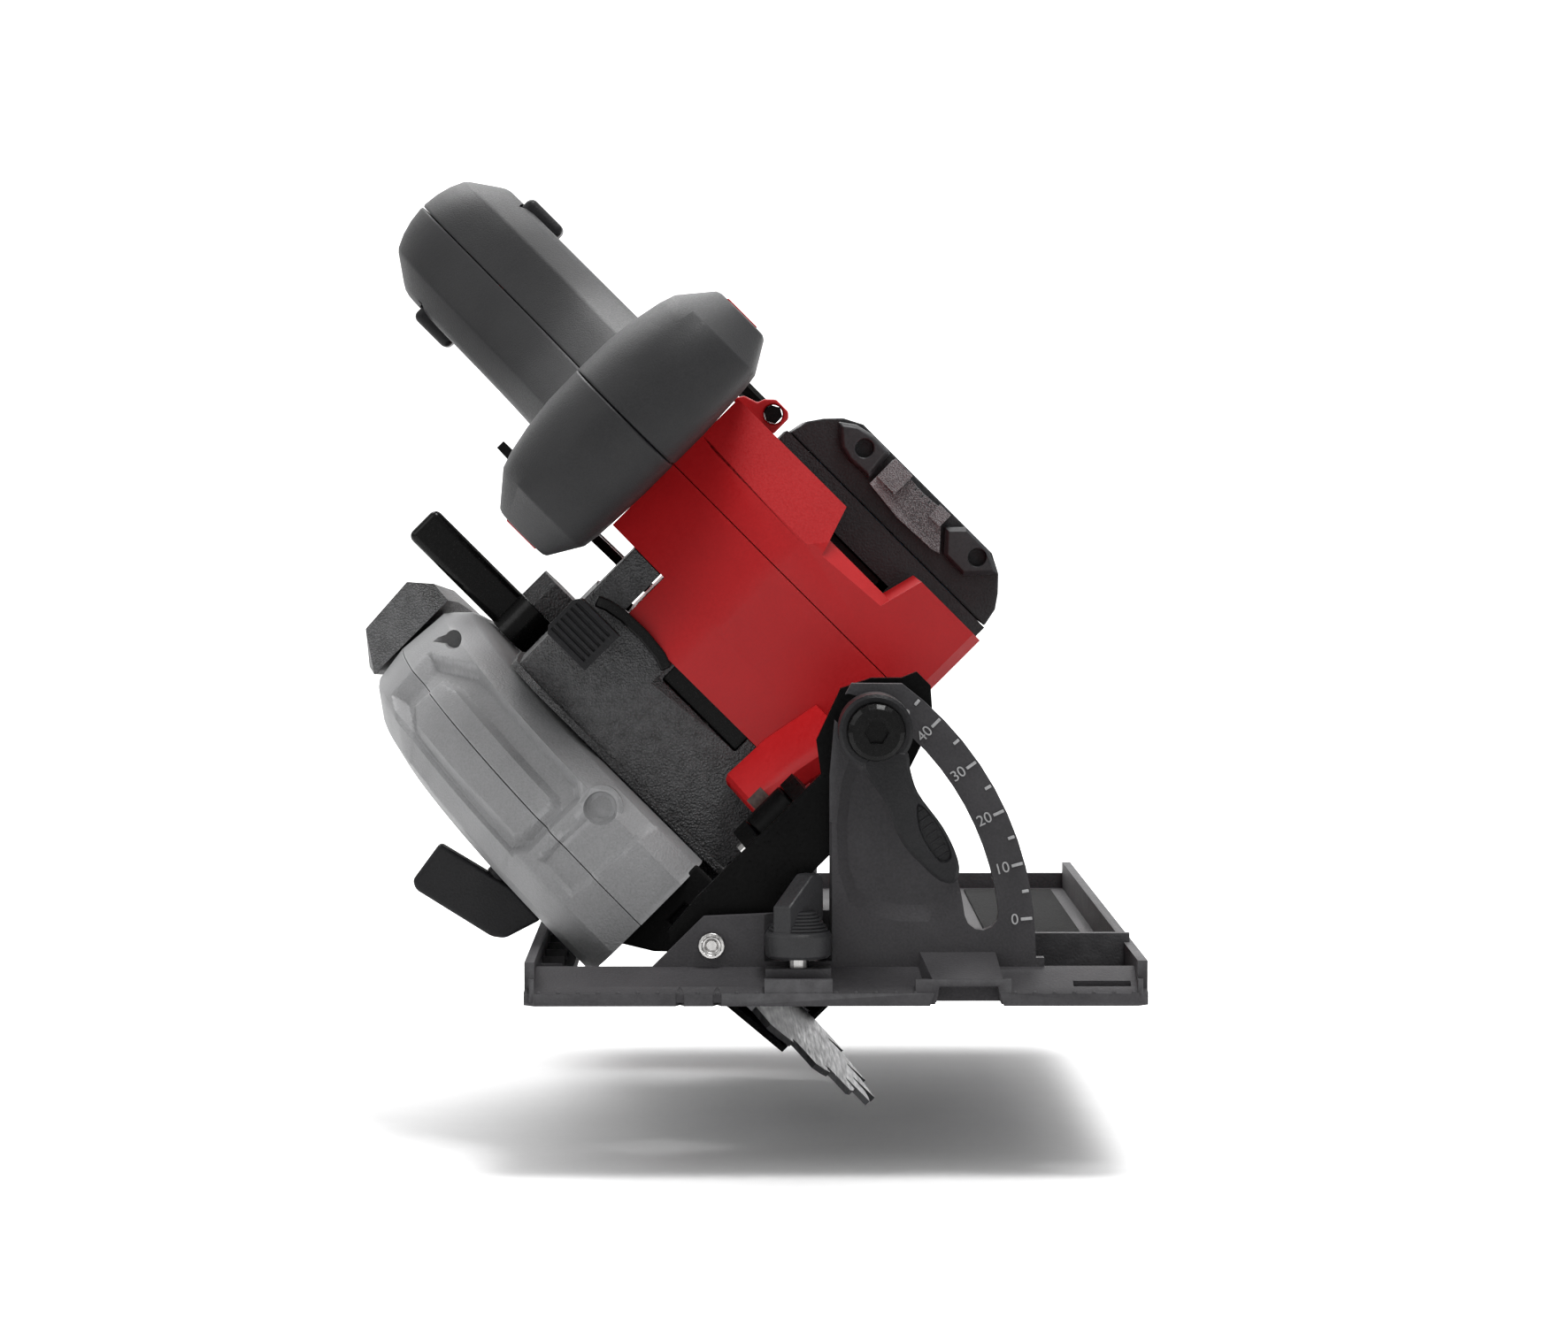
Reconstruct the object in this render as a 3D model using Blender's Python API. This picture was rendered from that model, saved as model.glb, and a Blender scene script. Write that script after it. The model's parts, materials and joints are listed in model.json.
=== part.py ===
"""Cordless circular saw, 184 mm blade on the right of the motor, standing on its shoe.

World frame: X to the operator's left as seen from the front, Y rearward, Z up, and the
sole at Z = 0 with the origin in the middle of the shoe. The saw is bevelled 45 degrees
about a pin line near the shoe's front and rear, and set to its full depth of cut.
All lengths below are millimetres; meshes are scaled to metres as they are made.
Saw pieces are drawn upright in the frame of saw_datum: u from the blade to the motor,
d rearward from the shoe's front edge, and v up the saw.
"""
import math

import bmesh
import bpy
from mathutils import Vector

MM = 0.001

# shoe
SHOE_WIDTH = 173.4
SHOE_LENGTH = 315.0
PLATE = 3.6
LIP = 3.0
WINDOW = (-75.0, -15.0, 47.0, 262.0)

# fence screws
FENCE_X = -10.4
FENCE_D = (10.0, 251.0)

# bevel pivot line and depth pivot
PIVOT_X = -34.6
PIVOT_Z = 15.4
BEVEL = 45.0
WALL_FRONT = 14.0
WALL_REAR = 18.6
CLAMP_U = 75.3
CLAMP_V = 11.0
DEPTH_D = 38.0
DEPTH_V = 8.0
DEPTH_SWING = 32.0
DEPTH_SLOT_R = 190.0
DEPTH_SLOT_START = 8.0

# blade, arbor and gears
ARBOR_D = 145.0
ARBOR_V = 14.0
BLADE_R = 92.0
BLADE_TEETH = 24
BLADE_U = -9.0
BLADE_THICK = 1.8
MODULE = 1.0
GEAR_TEETH = 38
PINION_TEETH = 10
MOTOR_V = ARBOR_V + MODULE * (GEAR_TEETH + PINION_TEETH) / 2

# guards
GUARD_R = 108.0
GUARD_OUT = -33.5
GUARD_IN = 12.0
SEAM_U = -12.0
LOWER_R = 97.0
LEVER_ANGLE = 150.0

# housing, handle and battery
CENTRE_U = 87.0
GAP = 0.3
HALF = GAP / 2
HANDLE_HALF = 23.0


def clear_scene():
    """Start from an empty scene."""
    for thing in list(bpy.data.objects):
        bpy.data.objects.remove(thing, do_unlink=True)


def material(name, colour, roughness, metallic):
    """A Principled material with one colour, roughness and metallic value."""
    mat = bpy.data.materials.new(name)
    mat.use_nodes = True
    shader = mat.node_tree.nodes["Principled BSDF"]
    shader.inputs["Base Color"].default_value = (*colour, 1.0)
    shader.inputs["Roughness"].default_value = roughness
    shader.inputs["Metallic"].default_value = metallic
    return mat


def datum(name, location, turn=(0, 0, 0)):
    """An empty that carries the pieces drawn in its frame."""
    empty = bpy.data.objects.new(name, None)
    empty.location = Vector(location) * MM
    empty.rotation_euler = [math.radians(a) for a in turn]
    bpy.context.scene.collection.objects.link(empty)
    return empty


def make(name, bm, mat, parent, origin=(0, 0, 0), sharp=35):
    """Turn a mesh in millimetres into a named object whose origin is the given point."""
    bmesh.ops.remove_doubles(bm, verts=bm.verts, dist=0.0005)
    bmesh.ops.recalc_face_normals(bm, faces=bm.faces)
    mesh = bpy.data.meshes.new(name)
    for vert in bm.verts:
        vert.co = (vert.co - Vector(origin)) * MM
    bm.to_mesh(mesh)
    bm.free()
    mesh.shade_smooth()
    mesh.set_sharp_from_angle(angle=math.radians(sharp))
    obj = bpy.data.objects.new(name, mesh)
    obj.location = Vector(origin) * MM
    obj.parent = parent
    bpy.context.scene.collection.objects.link(obj)
    if mat:
        mesh.materials.append(mat)
    return obj


def combine(obj, bm, operation):
    """Join or cut an object with a helper solid drawn in the same frame."""
    count = len(obj.modifiers)
    helper = make(f"{obj.name}_tool_{count}", bm, None, obj.parent, obj.location / MM)
    helper.hide_render = True
    helper.display_type = "WIRE"
    step = obj.modifiers.new(f"step_{count}", "BOOLEAN")
    step.operation = operation
    step.solver = "EXACT"
    step.object = helper
    return obj


def cut(obj, *solids):
    """Take solids away from an object."""
    for bm in solids:
        combine(obj, bm, "DIFFERENCE")
    return obj


def join(obj, *solids):
    """Add solids to an object."""
    for bm in solids:
        combine(obj, bm, "UNION")
    return obj


def point(axis, along, a, b):
    """A point from its place along an axis and its two other coordinates in order."""
    if axis == "x":
        return (along, a, b)
    if axis == "y":
        return (a, along, b)
    return (a, b, along)


def loft(rings, capped=True, closed=False):
    """Skin a row of rings that have the same number of points."""
    bm = bmesh.new()
    rows = [[bm.verts.new(p) for p in ring] for ring in rings]
    pairs = list(zip(rows, rows[1:]))
    if closed:
        pairs.append((rows[-1], rows[0]))
    for low, high in pairs:
        for i in range(len(low)):
            j = (i + 1) % len(low)
            bm.faces.new((low[i], low[j], high[j], high[i]))
    if capped and not closed:
        bm.faces.new(rows[0])
        bm.faces.new(rows[-1])
    return bm


def prism(axis, outline, low, high):
    """A straight solid: a closed outline carried along one axis."""
    return loft([[point(axis, s, a, b) for a, b in outline] for s in (low, high)])


def box(x, y, z):
    """A rectangular block from its limits on each axis."""
    return prism("z", [(x[0], y[0]), (x[1], y[0]), (x[1], y[1]), (x[0], y[1])], *z)


def turned(axis, profile, centre, steps=24):
    """A full turn of a profile (along, radius) whose two ends lie on the axis."""
    bm = bmesh.new()
    rings = []
    for along, radius in profile:
        ring = []
        for i in range(steps):
            t = 2 * math.pi * i / steps
            a = centre[0] + radius * math.cos(t)
            b = centre[1] + radius * math.sin(t)
            ring.append(bm.verts.new(point(axis, along, a, b)))
        rings.append(ring)
    for low, high in zip(rings, rings[1:]):
        for i in range(steps):
            j = (i + 1) % steps
            bm.faces.new((low[i], low[j], high[j], high[i]))
    bm.faces.new(rings[0])
    bm.faces.new(rings[-1])
    return bm


def rod(axis, centre, radius, low, high, steps=20):
    """A plain cylinder."""
    return turned(axis, [(low, radius), (high, radius)], centre, steps)


def ring(axis, centre, inner, outer, low, high, steps=24):
    """A plain tube."""
    section = [(low, inner), (low, outer), (high, outer), (high, inner)]
    return swept(axis, section, centre, 0, 360, steps)


def swept(axis, section, centre, start, end, steps):
    """A closed section (along, radius) swept through an angle about an axis."""
    whole = abs(end - start) >= 360
    count = steps if whole else steps + 1
    rings = []
    for i in range(count):
        t = math.radians(start + (end - start) * i / steps)
        rings.append([point(axis, s, centre[0] + r * math.cos(t), centre[1] + r * math.sin(t))
                      for s, r in section])
    return loft(rings, capped=not whole, closed=whole)


def arc(centre, radius, start, end, steps):
    """Points on a circular arc, both ends included."""
    turns = [math.radians(start + (end - start) * i / steps) for i in range(steps + 1)]
    return [(centre[0] + radius * math.cos(t), centre[1] + radius * math.sin(t)) for t in turns]


def slot(centre, radius, half, start, end, steps=12):
    """Outline of an arc slot with round ends."""
    outer = arc(centre, radius + half, start, end, steps)
    inner = arc(centre, radius - half, end, start, steps)
    caps = []
    for angle, turn in ((end, end), (start, start + 180)):
        t = math.radians(angle)
        middle = (centre[0] + radius * math.cos(t), centre[1] + radius * math.sin(t))
        caps.append(arc(middle, half, turn, turn + 180, 6)[1:-1])
    return outer + caps[0] + inner + caps[1]


def inset(outline, amount):
    """Move every side of a counter-clockwise outline inward by one distance."""
    result = []
    for i, here in enumerate(outline):
        before = Vector(here) - Vector(outline[i - 1])
        after = Vector(outline[(i + 1) % len(outline)]) - Vector(here)
        n1 = Vector((-before.y, before.x)).normalized()
        n2 = Vector((-after.y, after.x)).normalized()
        mean = (n1 + n2) / (1 + n1.dot(n2))
        result.append(tuple(Vector(here) + mean * amount))
    return result


def hexagon(centre, flats):
    """Outline of a hexagon from its width across flats."""
    return arc(centre, flats / math.sqrt(3), 0, 300, 5)


def toothed(centre, teeth, root, tip, first, widths):
    """Outline of a toothed wheel: root, flank and tip half-widths as parts of a pitch."""
    pitch = 2 * math.pi / teeth
    outline = []
    for i in range(teeth):
        middle = math.radians(first) + i * pitch
        for radius, part in ((root, -widths[0]), (tip, -widths[1]), (tip, widths[1]),
                             (root, widths[0])):
            t = middle + part * pitch
            outline.append((centre[0] + radius * math.cos(t), centre[1] + radius * math.sin(t)))
    return outline


def washer(name, axis, centre, inner, outer, low, high, mat, parent, steps=20):
    """A plain ring as an object of its own."""
    middle = point(axis, (low + high) / 2, *centre)
    return make(name, ring(axis, centre, inner, outer, low, high, steps), mat, parent, middle)


def build_shoe(base, mats):
    """The cast shoe with its rims, bevel quadrant, pivot walls and fence bosses."""
    half = SHOE_WIDTH / 2
    plan = [(-half + 3, 0), (half - 3, 0), (half, 3), (half, SHOE_LENGTH - 3),
            (half - 3, SHOE_LENGTH), (-half + 3, SHOE_LENGTH), (-half, SHOE_LENGTH - 3), (-half, 3)]
    shoe = make("shoe", prism("z", plan, 0, PLATE), mats["casting"], base)
    edge = 0.25
    join(shoe, box((edge - half, LIP - half), (2.2, SHOE_LENGTH - 2.2), (1, 12.0)))
    join(shoe, box((half - LIP, half - edge), (2.2, SHOE_LENGTH - 2.2), (1, 12.4)))
    across = (1.6 - half, half - 1.6)
    join(shoe, box(across, (SHOE_LENGTH - LIP, SHOE_LENGTH - edge), (1.2, 8.6)))
    join(shoe, box(across, (edge, LIP), (1.2, 7.4)))
    join(shoe, box((57.2, half - 1.3), (51, 54.5), (1.4, 15)))
    join(shoe, prism("y", quadrant_outline(), WALL_FRONT, WALL_REAR))
    join(shoe, prism("y", gusset_outline(), WALL_FRONT + 0.8, 21.6))
    rear = [(-50, 1), (-18, 1), (-19.6, 22), (-24, 27.5), (-45, 27.5), (-49, 22)]
    join(shoe, prism("y", rear, 270, 276))
    for d in FENCE_D:
        join(shoe, box((-19.6, -1.3), (d - 5, d + 5), (1, 9.8)))
    cut(shoe, box(WINDOW[:2], WINDOW[2:], (-5, 40)))
    cut(shoe, prism("y", bevel_slot(), 5, 30))
    arch = [(25.6, -1), (27.7, 4.6), (45.1, 4.6), (46.8, -1)]
    cut(shoe, prism("y", arch, -2, 4.2))
    cut(shoe, rod("y", (PIVOT_X, PIVOT_Z), 3.3, 5, 290, 16))
    for d in FENCE_D:
        cut(shoe, rod("z", (FENCE_X, d), 3.0, -2, 20, 16))
    cut(shoe, rod("z", (FENCE_X, FENCE_D[0]), 10.4, 11, 50, 20))
    cut(shoe, box((70, 82.4), (12, 20), (-2, 8)))
    for x in (-43.3, -33.0):
        notch = [(x - 1.6, -1), (x + 1.6, -1), (x, 3.2)]
        cut(shoe, prism("z", notch, -2, 12))
    return shoe


def quadrant_outline():
    """Front wall and bevel quadrant seen from the front, as X and Z."""
    centre = (PIVOT_X, PIVOT_Z)
    rim = arc(centre, 90.6, 54, 4, 10)
    return ([(-53, 1), (58.5, 1), (58.5, 11.9), (56.2, 11.9)] + rim[::-1]
            + [(4.5, 88.8), (0, 80.6), (-1.6, 62.6), (-1.6, 25), (-19.9, 24.1), (-36.8, 23.4),
               (-53, 7.4)])


def gusset_outline():
    """Low flange behind the quadrant that carries it down into the plate."""
    return [(-1.6, 1), (54, 1), (54, 5.6), (48, 8), (4, 12), (-1.6, 12)]


def bevel_slot():
    """The arc slot that the bevel clamp bolt runs in, as X and Z."""
    radius = math.hypot(CLAMP_U, CLAMP_V)
    upright = math.degrees(math.atan2(CLAMP_V, CLAMP_U))
    return slot((PIVOT_X, PIVOT_Z), radius, 4.8, upright - 1.5, upright + 51.5)


def build_base_fittings(base, mats):
    """Pivot pins, fence screws and their knobs on the shoe."""
    centre = (PIVOT_X, PIVOT_Z)
    front = [(12.4, 2.6), (12.6, 3.7), (13.7, 3.7), (13.7, 3.0), (27.6, 3.0)]
    make("bevel_pivot_front", turned("y", front, centre, 16), mats["steel"], base,
         (PIVOT_X, 12.4, PIVOT_Z))
    rear = [(262.8, 3.0), (276.3, 3.0), (276.3, 4.6), (278.6, 4.6)]
    make("bevel_pivot_rear", turned("y", rear, centre, 16), mats["steel"], base,
         (PIVOT_X, 270, PIVOT_Z))
    for name, d in zip(("front", "rear"), FENCE_D):
        build_fence_knob(name, d, base, mats)


def build_fence_knob(name, d, base, mats):
    """A wing knob on its screw, turning about an upright axis over a fence boss."""
    centre = (FENCE_X, d)
    screw = [(4.2, 2.6), (17.5, 2.6)]
    make(f"fence_screw_{name}", turned("z", screw, centre, 12), mats["steel"], base,
         (centre[0], d, 4.2))
    ribs = toothed(centre, 16, 8.8, 9.4, 0, (0.42, 0.25))
    knob = make(f"fence_knob_{name}", prism("z", ribs, 12.6, 19.4), mats["plastic"], base,
                (centre[0], d, 12.6))
    low, high = 5.0, 3.6
    wing = loft([[(centre[0] - a, d - 2.6, z), (centre[0] + a, d - 2.6, z),
                  (centre[0] + a, d + 2.6, z), (centre[0] - a, d + 2.6, z)]
                 for a, z in ((low + 1.5, 19.0), (low, 27.8), (high, 34.5), (high - 1.4, 35.8))])
    join(knob, wing)
    cut(knob, rod("z", centre, 2.9, 10, 18, 12))


def build_tilt_frame(saw, base, mats):
    """The two bevel brackets, the depth quadrant and their fastenings."""
    plate = [(-11, -5), (-6, -9), (6, -9), (30, -6), (70, -6), (88, 0), (94.7, 7.7), (94.7, 13.2),
             (90.5, 15), (84.4, 21), (76.2, 25), (61.1, 19.5), (55.3, 11.9), (25.7, 11.9),
             (6, 12), (-6, 11), (-11, 5)]
    bracket = make("front_tilt_bracket", prism("y", plate, 22, 26), mats["black_steel"], saw)
    for low, high in ((25.4, 30.2), (44.3, 49)):
        ear = [(24, -4.5)] + arc((DEPTH_D, DEPTH_V), 9, -70, 120, 8) + [(24, 11.5)]
        join(bracket, prism("x", ear, low, high))
    cut(bracket, rod("y", (0, 0), 3.3, 20, 30, 16))
    cut(bracket, rod("y", (CLAMP_U, CLAMP_V), 4.3, 20, 30, 16))
    cut(bracket, rod("x", (DEPTH_D, DEPTH_V), 3.8, 20, 60, 16))
    pin = [(23.2, 5.4), (25.0, 5.4), (25.0, 3.5), (50.6, 3.5)]
    make("depth_pivot_pin", turned("x", pin, (DEPTH_D, DEPTH_V), 16), mats["steel"], saw,
         (23.2, DEPTH_D, DEPTH_V))
    arm = [(-11, -5), (-6, -9), (6, -9), (56, -6), (56, 10), (30, 11), (6, 12), (-6, 11), (-11, 5)]
    rear = make("rear_tilt_bracket", prism("y", arm, 264.5, 268.5), mats["black_steel"], saw)
    cut(rear, rod("y", (0, 0), 3.3, 260, 272, 16))
    build_depth_quadrant(saw, mats)
    build_bevel_lever(base, mats)


def build_depth_quadrant(saw, mats):
    """Steel arc plate that holds the depth of cut, with its long curved slot."""
    centre = (DEPTH_D, DEPTH_V)
    top = DEPTH_SLOT_START + DEPTH_SWING
    outer = arc(centre, DEPTH_SLOT_R + 11, DEPTH_SLOT_START - 3, top + 3.5, 14)
    inner = arc(centre, DEPTH_SLOT_R - 11, top + 3.5, DEPTH_SLOT_START - 9, 14)
    outline = [(228, -6), (264.2, -6), (264.2, 9)] + outer + inner
    plate = make("depth_quadrant", prism("x", outline, 50, 53), mats["steel_dark"], saw)
    cut(plate, prism("x", slot(centre, DEPTH_SLOT_R, 4.3, DEPTH_SLOT_START - 0.4, top + 0.4),
                     45, 58))


def build_bevel_lever(base, mats):
    """Clamp bolt and thumb lever in front of the bevel quadrant, drawn upright."""
    t = math.radians(BEVEL) + math.atan2(CLAMP_V, CLAMP_U)
    reach = math.hypot(CLAMP_U, CLAMP_V)
    x, z = PIVOT_X + reach * math.cos(t), PIVOT_Z + reach * math.sin(t)
    bolt = [(-9.5, 6.6), (-8.6, 7.8), (-3.3, 7.8), (-3.3, 4.0), (33, 4.0)]
    head = make("bevel_clamp_bolt", turned("y", bolt, (x, z), 20), mats["black_steel"], base,
                (x, -9.5, z))
    cut(head, prism("y", hexagon((x, z), 6), -12, -6))
    hub = make("bevel_lever", ring("y", (x, z), 4.3, 10.4, -3.0, WALL_FRONT - GAP, 24),
               mats["plastic"], base, (x, -3.0, z))
    arm = [(x - 4.5, z - 8.2), (x + 9.7, z - 31), (x + 16.5, z - 40), (x + 20, z - 42.5),
           (x + 23, z - 39), (x + 19.6, z - 25), (x + 8.0, z - 5.4)]
    join(hub, prism("y", arm, -2.9, -0.6))


def build_blade(saw, mats):
    """Toothed blade on its arbor with flanges, bolt, bearings and drive gear."""
    centre = (ARBOR_D, ARBOR_V)
    low, high = BLADE_U - BLADE_THICK / 2, BLADE_U + BLADE_THICK / 2
    outline = blade_outline(centre)
    blade = make("blade", prism("x", outline, low, high), mats["blade"], saw,
                 (BLADE_U, ARBOR_D, ARBOR_V))
    cut(blade, rod("x", centre, 8.3, low - 3, high + 3, 24))
    shaft = [(-13.6, 8.0), (29.6, 8.0), (29.6, 5.0), (38, 5.0)]
    arbor = make("arbor_shaft", turned("x", shaft, centre, 24), mats["steel"], saw,
                 (0, ARBOR_D, ARBOR_V))
    cut(arbor, rod("x", centre, 3.9, -20, -2, 16))
    washer("inner_flange", "x", centre, 8.3, 20, high + GAP, -2.2, mats["steel"], saw)
    washer("outer_flange", "x", centre, 8.3, 20, -14, low - GAP, mats["steel"], saw)
    bolt = prism("x", hexagon(centre, 13), -20.5, -14.3)
    bolt_obj = make("blade_bolt", bolt, mats["steel"], saw, (-14.3, ARBOR_D, ARBOR_V))
    join(bolt_obj, rod("x", centre, 3.5, -15, -4, 16))
    pitch = MODULE * GEAR_TEETH / 2
    teeth = toothed(centre, GEAR_TEETH, pitch - 1.2, pitch + 0.75, 90 + 180 / GEAR_TEETH,
                    (0.25, 0.09))
    gear = make("drive_gear", prism("x", teeth, 17, 27), mats["steel_dark"], saw,
                (22, ARBOR_D, ARBOR_V))
    cut(gear, rod("x", centre, 8.3, 10, 35, 24))
    washer("arbor_bearing_outer", "x", centre, 8.3, 12.0, 3.4, 11, mats["steel"], saw)
    washer("arbor_bearing_inner", "x", centre, 5.3, 9.5, 31, 36.7, mats["steel"], saw)


def blade_outline(centre):
    """Carbide-tipped rim: a steep tooth face, a sloping back and a round gullet."""
    outline = []
    for i in range(BLADE_TEETH):
        start = 2 * math.pi * i / BLADE_TEETH
        pitch = 2 * math.pi / BLADE_TEETH
        for part, radius in ((0.0, BLADE_R), (0.30, BLADE_R - 1.8), (0.62, BLADE_R - 4.2),
                             (0.80, BLADE_R - 9.5), (0.92, BLADE_R - 9.0), (0.97, BLADE_R - 5)):
            t = start + part * pitch
            outline.append((centre[0] + radius * math.cos(t), centre[1] + radius * math.sin(t)))
    return outline


def build_motor(saw, mats):
    """Rotor, pinion and fan on one shaft, with the stator and its two bearings."""
    centre = (ARBOR_D, MOTOR_V)
    origin = (60, ARBOR_D, MOTOR_V)
    shaft = [(16, 2.2), (29.6, 2.2), (29.6, 4.0), (95.8, 4.0)]
    make("rotor_shaft", turned("x", shaft, centre, 16), mats["steel"], saw, origin)
    pitch = MODULE * PINION_TEETH / 2
    teeth = toothed(centre, PINION_TEETH, pitch - 1.2, pitch + 0.75, 90, (0.25, 0.09))
    pinion = make("pinion", prism("x", teeth, 16.4, 28), mats["steel_dark"], saw, origin)
    cut(pinion, rod("x", centre, 2.5, 10, 35, 12))
    washer("rotor_core", "x", centre, 4.3, 16.6, 50, 80, mats["steel_dark"], saw)
    washer("stator", "x", centre, 17.4, 25.6, 49.8, 80.2, mats["copper"], saw)
    blades = toothed(centre, 9, 9, 24, 0, (0.34, 0.09))
    fan = make("cooling_fan", prism("x", blades, 82.4, 88.4), mats["plastic"], saw, origin)
    cut(fan, rod("x", centre, 4.3, 80, 95, 16))
    washer("motor_bearing_front", "x", centre, 4.3, 9.5, 31, 36.7, mats["steel"], saw)
    washer("motor_bearing_rear", "x", centre, 4.3, 9.5, 89.6, 94.8, mats["steel"], saw)


def build_gear_case(saw, mats):
    """Cast gear case with its arbor hub, depth lug and upper lobe, and its cover plate."""
    centre = (ARBOR_D, ARBOR_V)
    outline = ([(60.3, 12), (64, 10), (118, 10)] + arc(centre, 24.6, 205, 345, 10)
               + [(174.6, 16), (174.6, 68), (168, 84), (150, 91.6), (110, 94.6), (68, 93.6),
                  (60.3, 84)])
    case = make("gear_case", prism("x", outline, 12.3, 46), mats["casting_dark"], saw)
    cut(case, prism("x", inset(outline, 3.2), 15.5, 50))
    lobe = [(60.3, 83), (100, 83), (100, 94), (68, 93.6), (60.3, 88)]
    join(case, prism("x", lobe, 44, 61.7))
    join(case, rod("x", centre, 18, 2.0, 14, 24))
    lug = arc((DEPTH_D, DEPTH_V), 9, 70, 270, 10) + [(66, 1), (66, 11.4), (46, 11.4)]
    join(case, prism("x", lug, 30.6, 43.9))
    cut(case, rod("x", centre, 12.3, -2, 13.5, 24))
    cut(case, rod("x", centre, 8.8, 0, 20, 24))
    cut(case, rod("x", (DEPTH_D, DEPTH_V), 3.9, 25, 50, 16))
    cut(case, rod("y", (34.5, 87), 3.4, 50, 75, 12))
    cover = make("gear_case_cover", prism("x", inset(outline, 3.6), 31, 37), mats["casting_dark"],
                 saw)
    cut(cover, rod("x", centre, 9.8, 28, 40, 24))
    cut(cover, rod("x", (ARBOR_D, MOTOR_V), 9.8, 28, 40, 24))
    cut(cover, box((30, 38), (58, 74), (82, 98)))
    build_spindle_lock(saw, mats)


def build_spindle_lock(saw, mats):
    """Ridged button in front of the gear case that pushes a pin toward the gear."""
    middle = (34.5, 87)
    body = [(27.5, 79), (41.6, 79), (41.6, 94), (39.6, 95.6), (29.5, 95.6), (27.5, 94)]
    button = make("spindle_lock_button", prism("y", body, 48, 56.5), mats["plastic"], saw,
                  (middle[0], 48, middle[1]))
    join(button, rod("y", middle, 3.0, 50, 65, 12))
    for i in range(4):
        v = 81.4 + 3.6 * i
        cut(button, box((25, 44), (46, 49), (v, v + 1.6)))


def guard_section(side):
    """Wall section of one guard shell as u and radius about the arbor."""
    if side == "outer":
        seam = SEAM_U - HALF
        return [(seam, 105), (seam, GUARD_R), (-24, 106.4), (-31, 97), (GUARD_OUT, 88),
                (GUARD_OUT, 27), (-30.5, 27), (-30.5, 87.2), (-28.4, 95), (-22.6, 103.4)]
    seam = SEAM_U + HALF
    return [(seam, 105), (seam, GUARD_R), (4, 106.4), (10.6, 100.5), (GUARD_IN, 96),
            (GUARD_IN, 42), (9, 42), (9, 95.2), (8, 98.2), (2.6, 103.4)]


def build_guards(saw, mats):
    """The two upper guard shells, their screws, the chute and the swinging lower guard."""
    centre = (ARBOR_D, ARBOR_V)
    outer = make("upper_guard_outer", swept("x", guard_section("outer"), centre, 1.4, 178.6, 24),
                 mats["casting"], saw, (-20, ARBOR_D, ARBOR_V))
    track = slot(centre, 80.5, 5.6, LEVER_ANGLE - 121, LEVER_ANGLE + 2)
    cut(outer, prism("x", track, -40, -28))
    make("upper_guard_inner", swept("x", guard_section("inner"), centre, 1.4, 178.6, 24),
         mats["casting"], saw, (0, ARBOR_D, ARBOR_V))
    rings = []
    for u, rise in ((-24, -9), (-16.6, 0), (2.6, 1.2), (8, -5)):
        rings.append([(u, 142, 122.6), (u, 150, 134.5 + rise), (u, 196, 127 + rise / 2),
                      (u, 206, 108), (u, 196, 112.5), (u, 170, 120.5)])
    make("dust_chute", loft(rings), mats["casting_dark"], saw, (-4, 170, 124))
    build_lower_guard(saw, mats)


def build_lower_guard(saw, mats):
    """Blade cover that swings about the arbor hub, its hub ring and its thumb lever."""
    centre = (ARBOR_D, ARBOR_V)
    start, end = -45.0, 115.0
    section = [(-0.9, 28), (-0.9, LOWER_R - 2), (-22, LOWER_R - 2), (-22, 56), (-24, 56),
               (-24, LOWER_R), (0.9, LOWER_R), (0.9, 28)]
    guard = make("lower_guard", swept("x", section, centre, start, end, 22), mats["guard_metal"],
                 saw, (0, ARBOR_D, ARBOR_V))
    join(guard, ring("x", centre, 18.5, 30, -0.8, 4.5, 24))
    arm = [(-24, 76), (-24, 86), (-22, 86), (-22, 76)]
    join(guard, swept("x", arm, centre, end - 4, LEVER_ANGLE + 3, 8))
    t = math.radians(LEVER_ANGLE)
    d, v = ARBOR_D + 80.5 * math.cos(t), ARBOR_V + 80.5 * math.sin(t)
    stem = rod("x", (d, v), 3.6, -35.5, -24.3, 14)
    lever = make("lower_guard_lever", stem, mats["plastic"], saw, (-24.3, d, v))
    paddle = [(-36, 37), (-34.2, 49), (-36.5, 71), (-43, 73), (-54.5, 69.8), (-53.6, 60),
              (-48.6, 40.8)]
    join(lever, prism("y", paddle, d - 3, d + 3))


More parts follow.
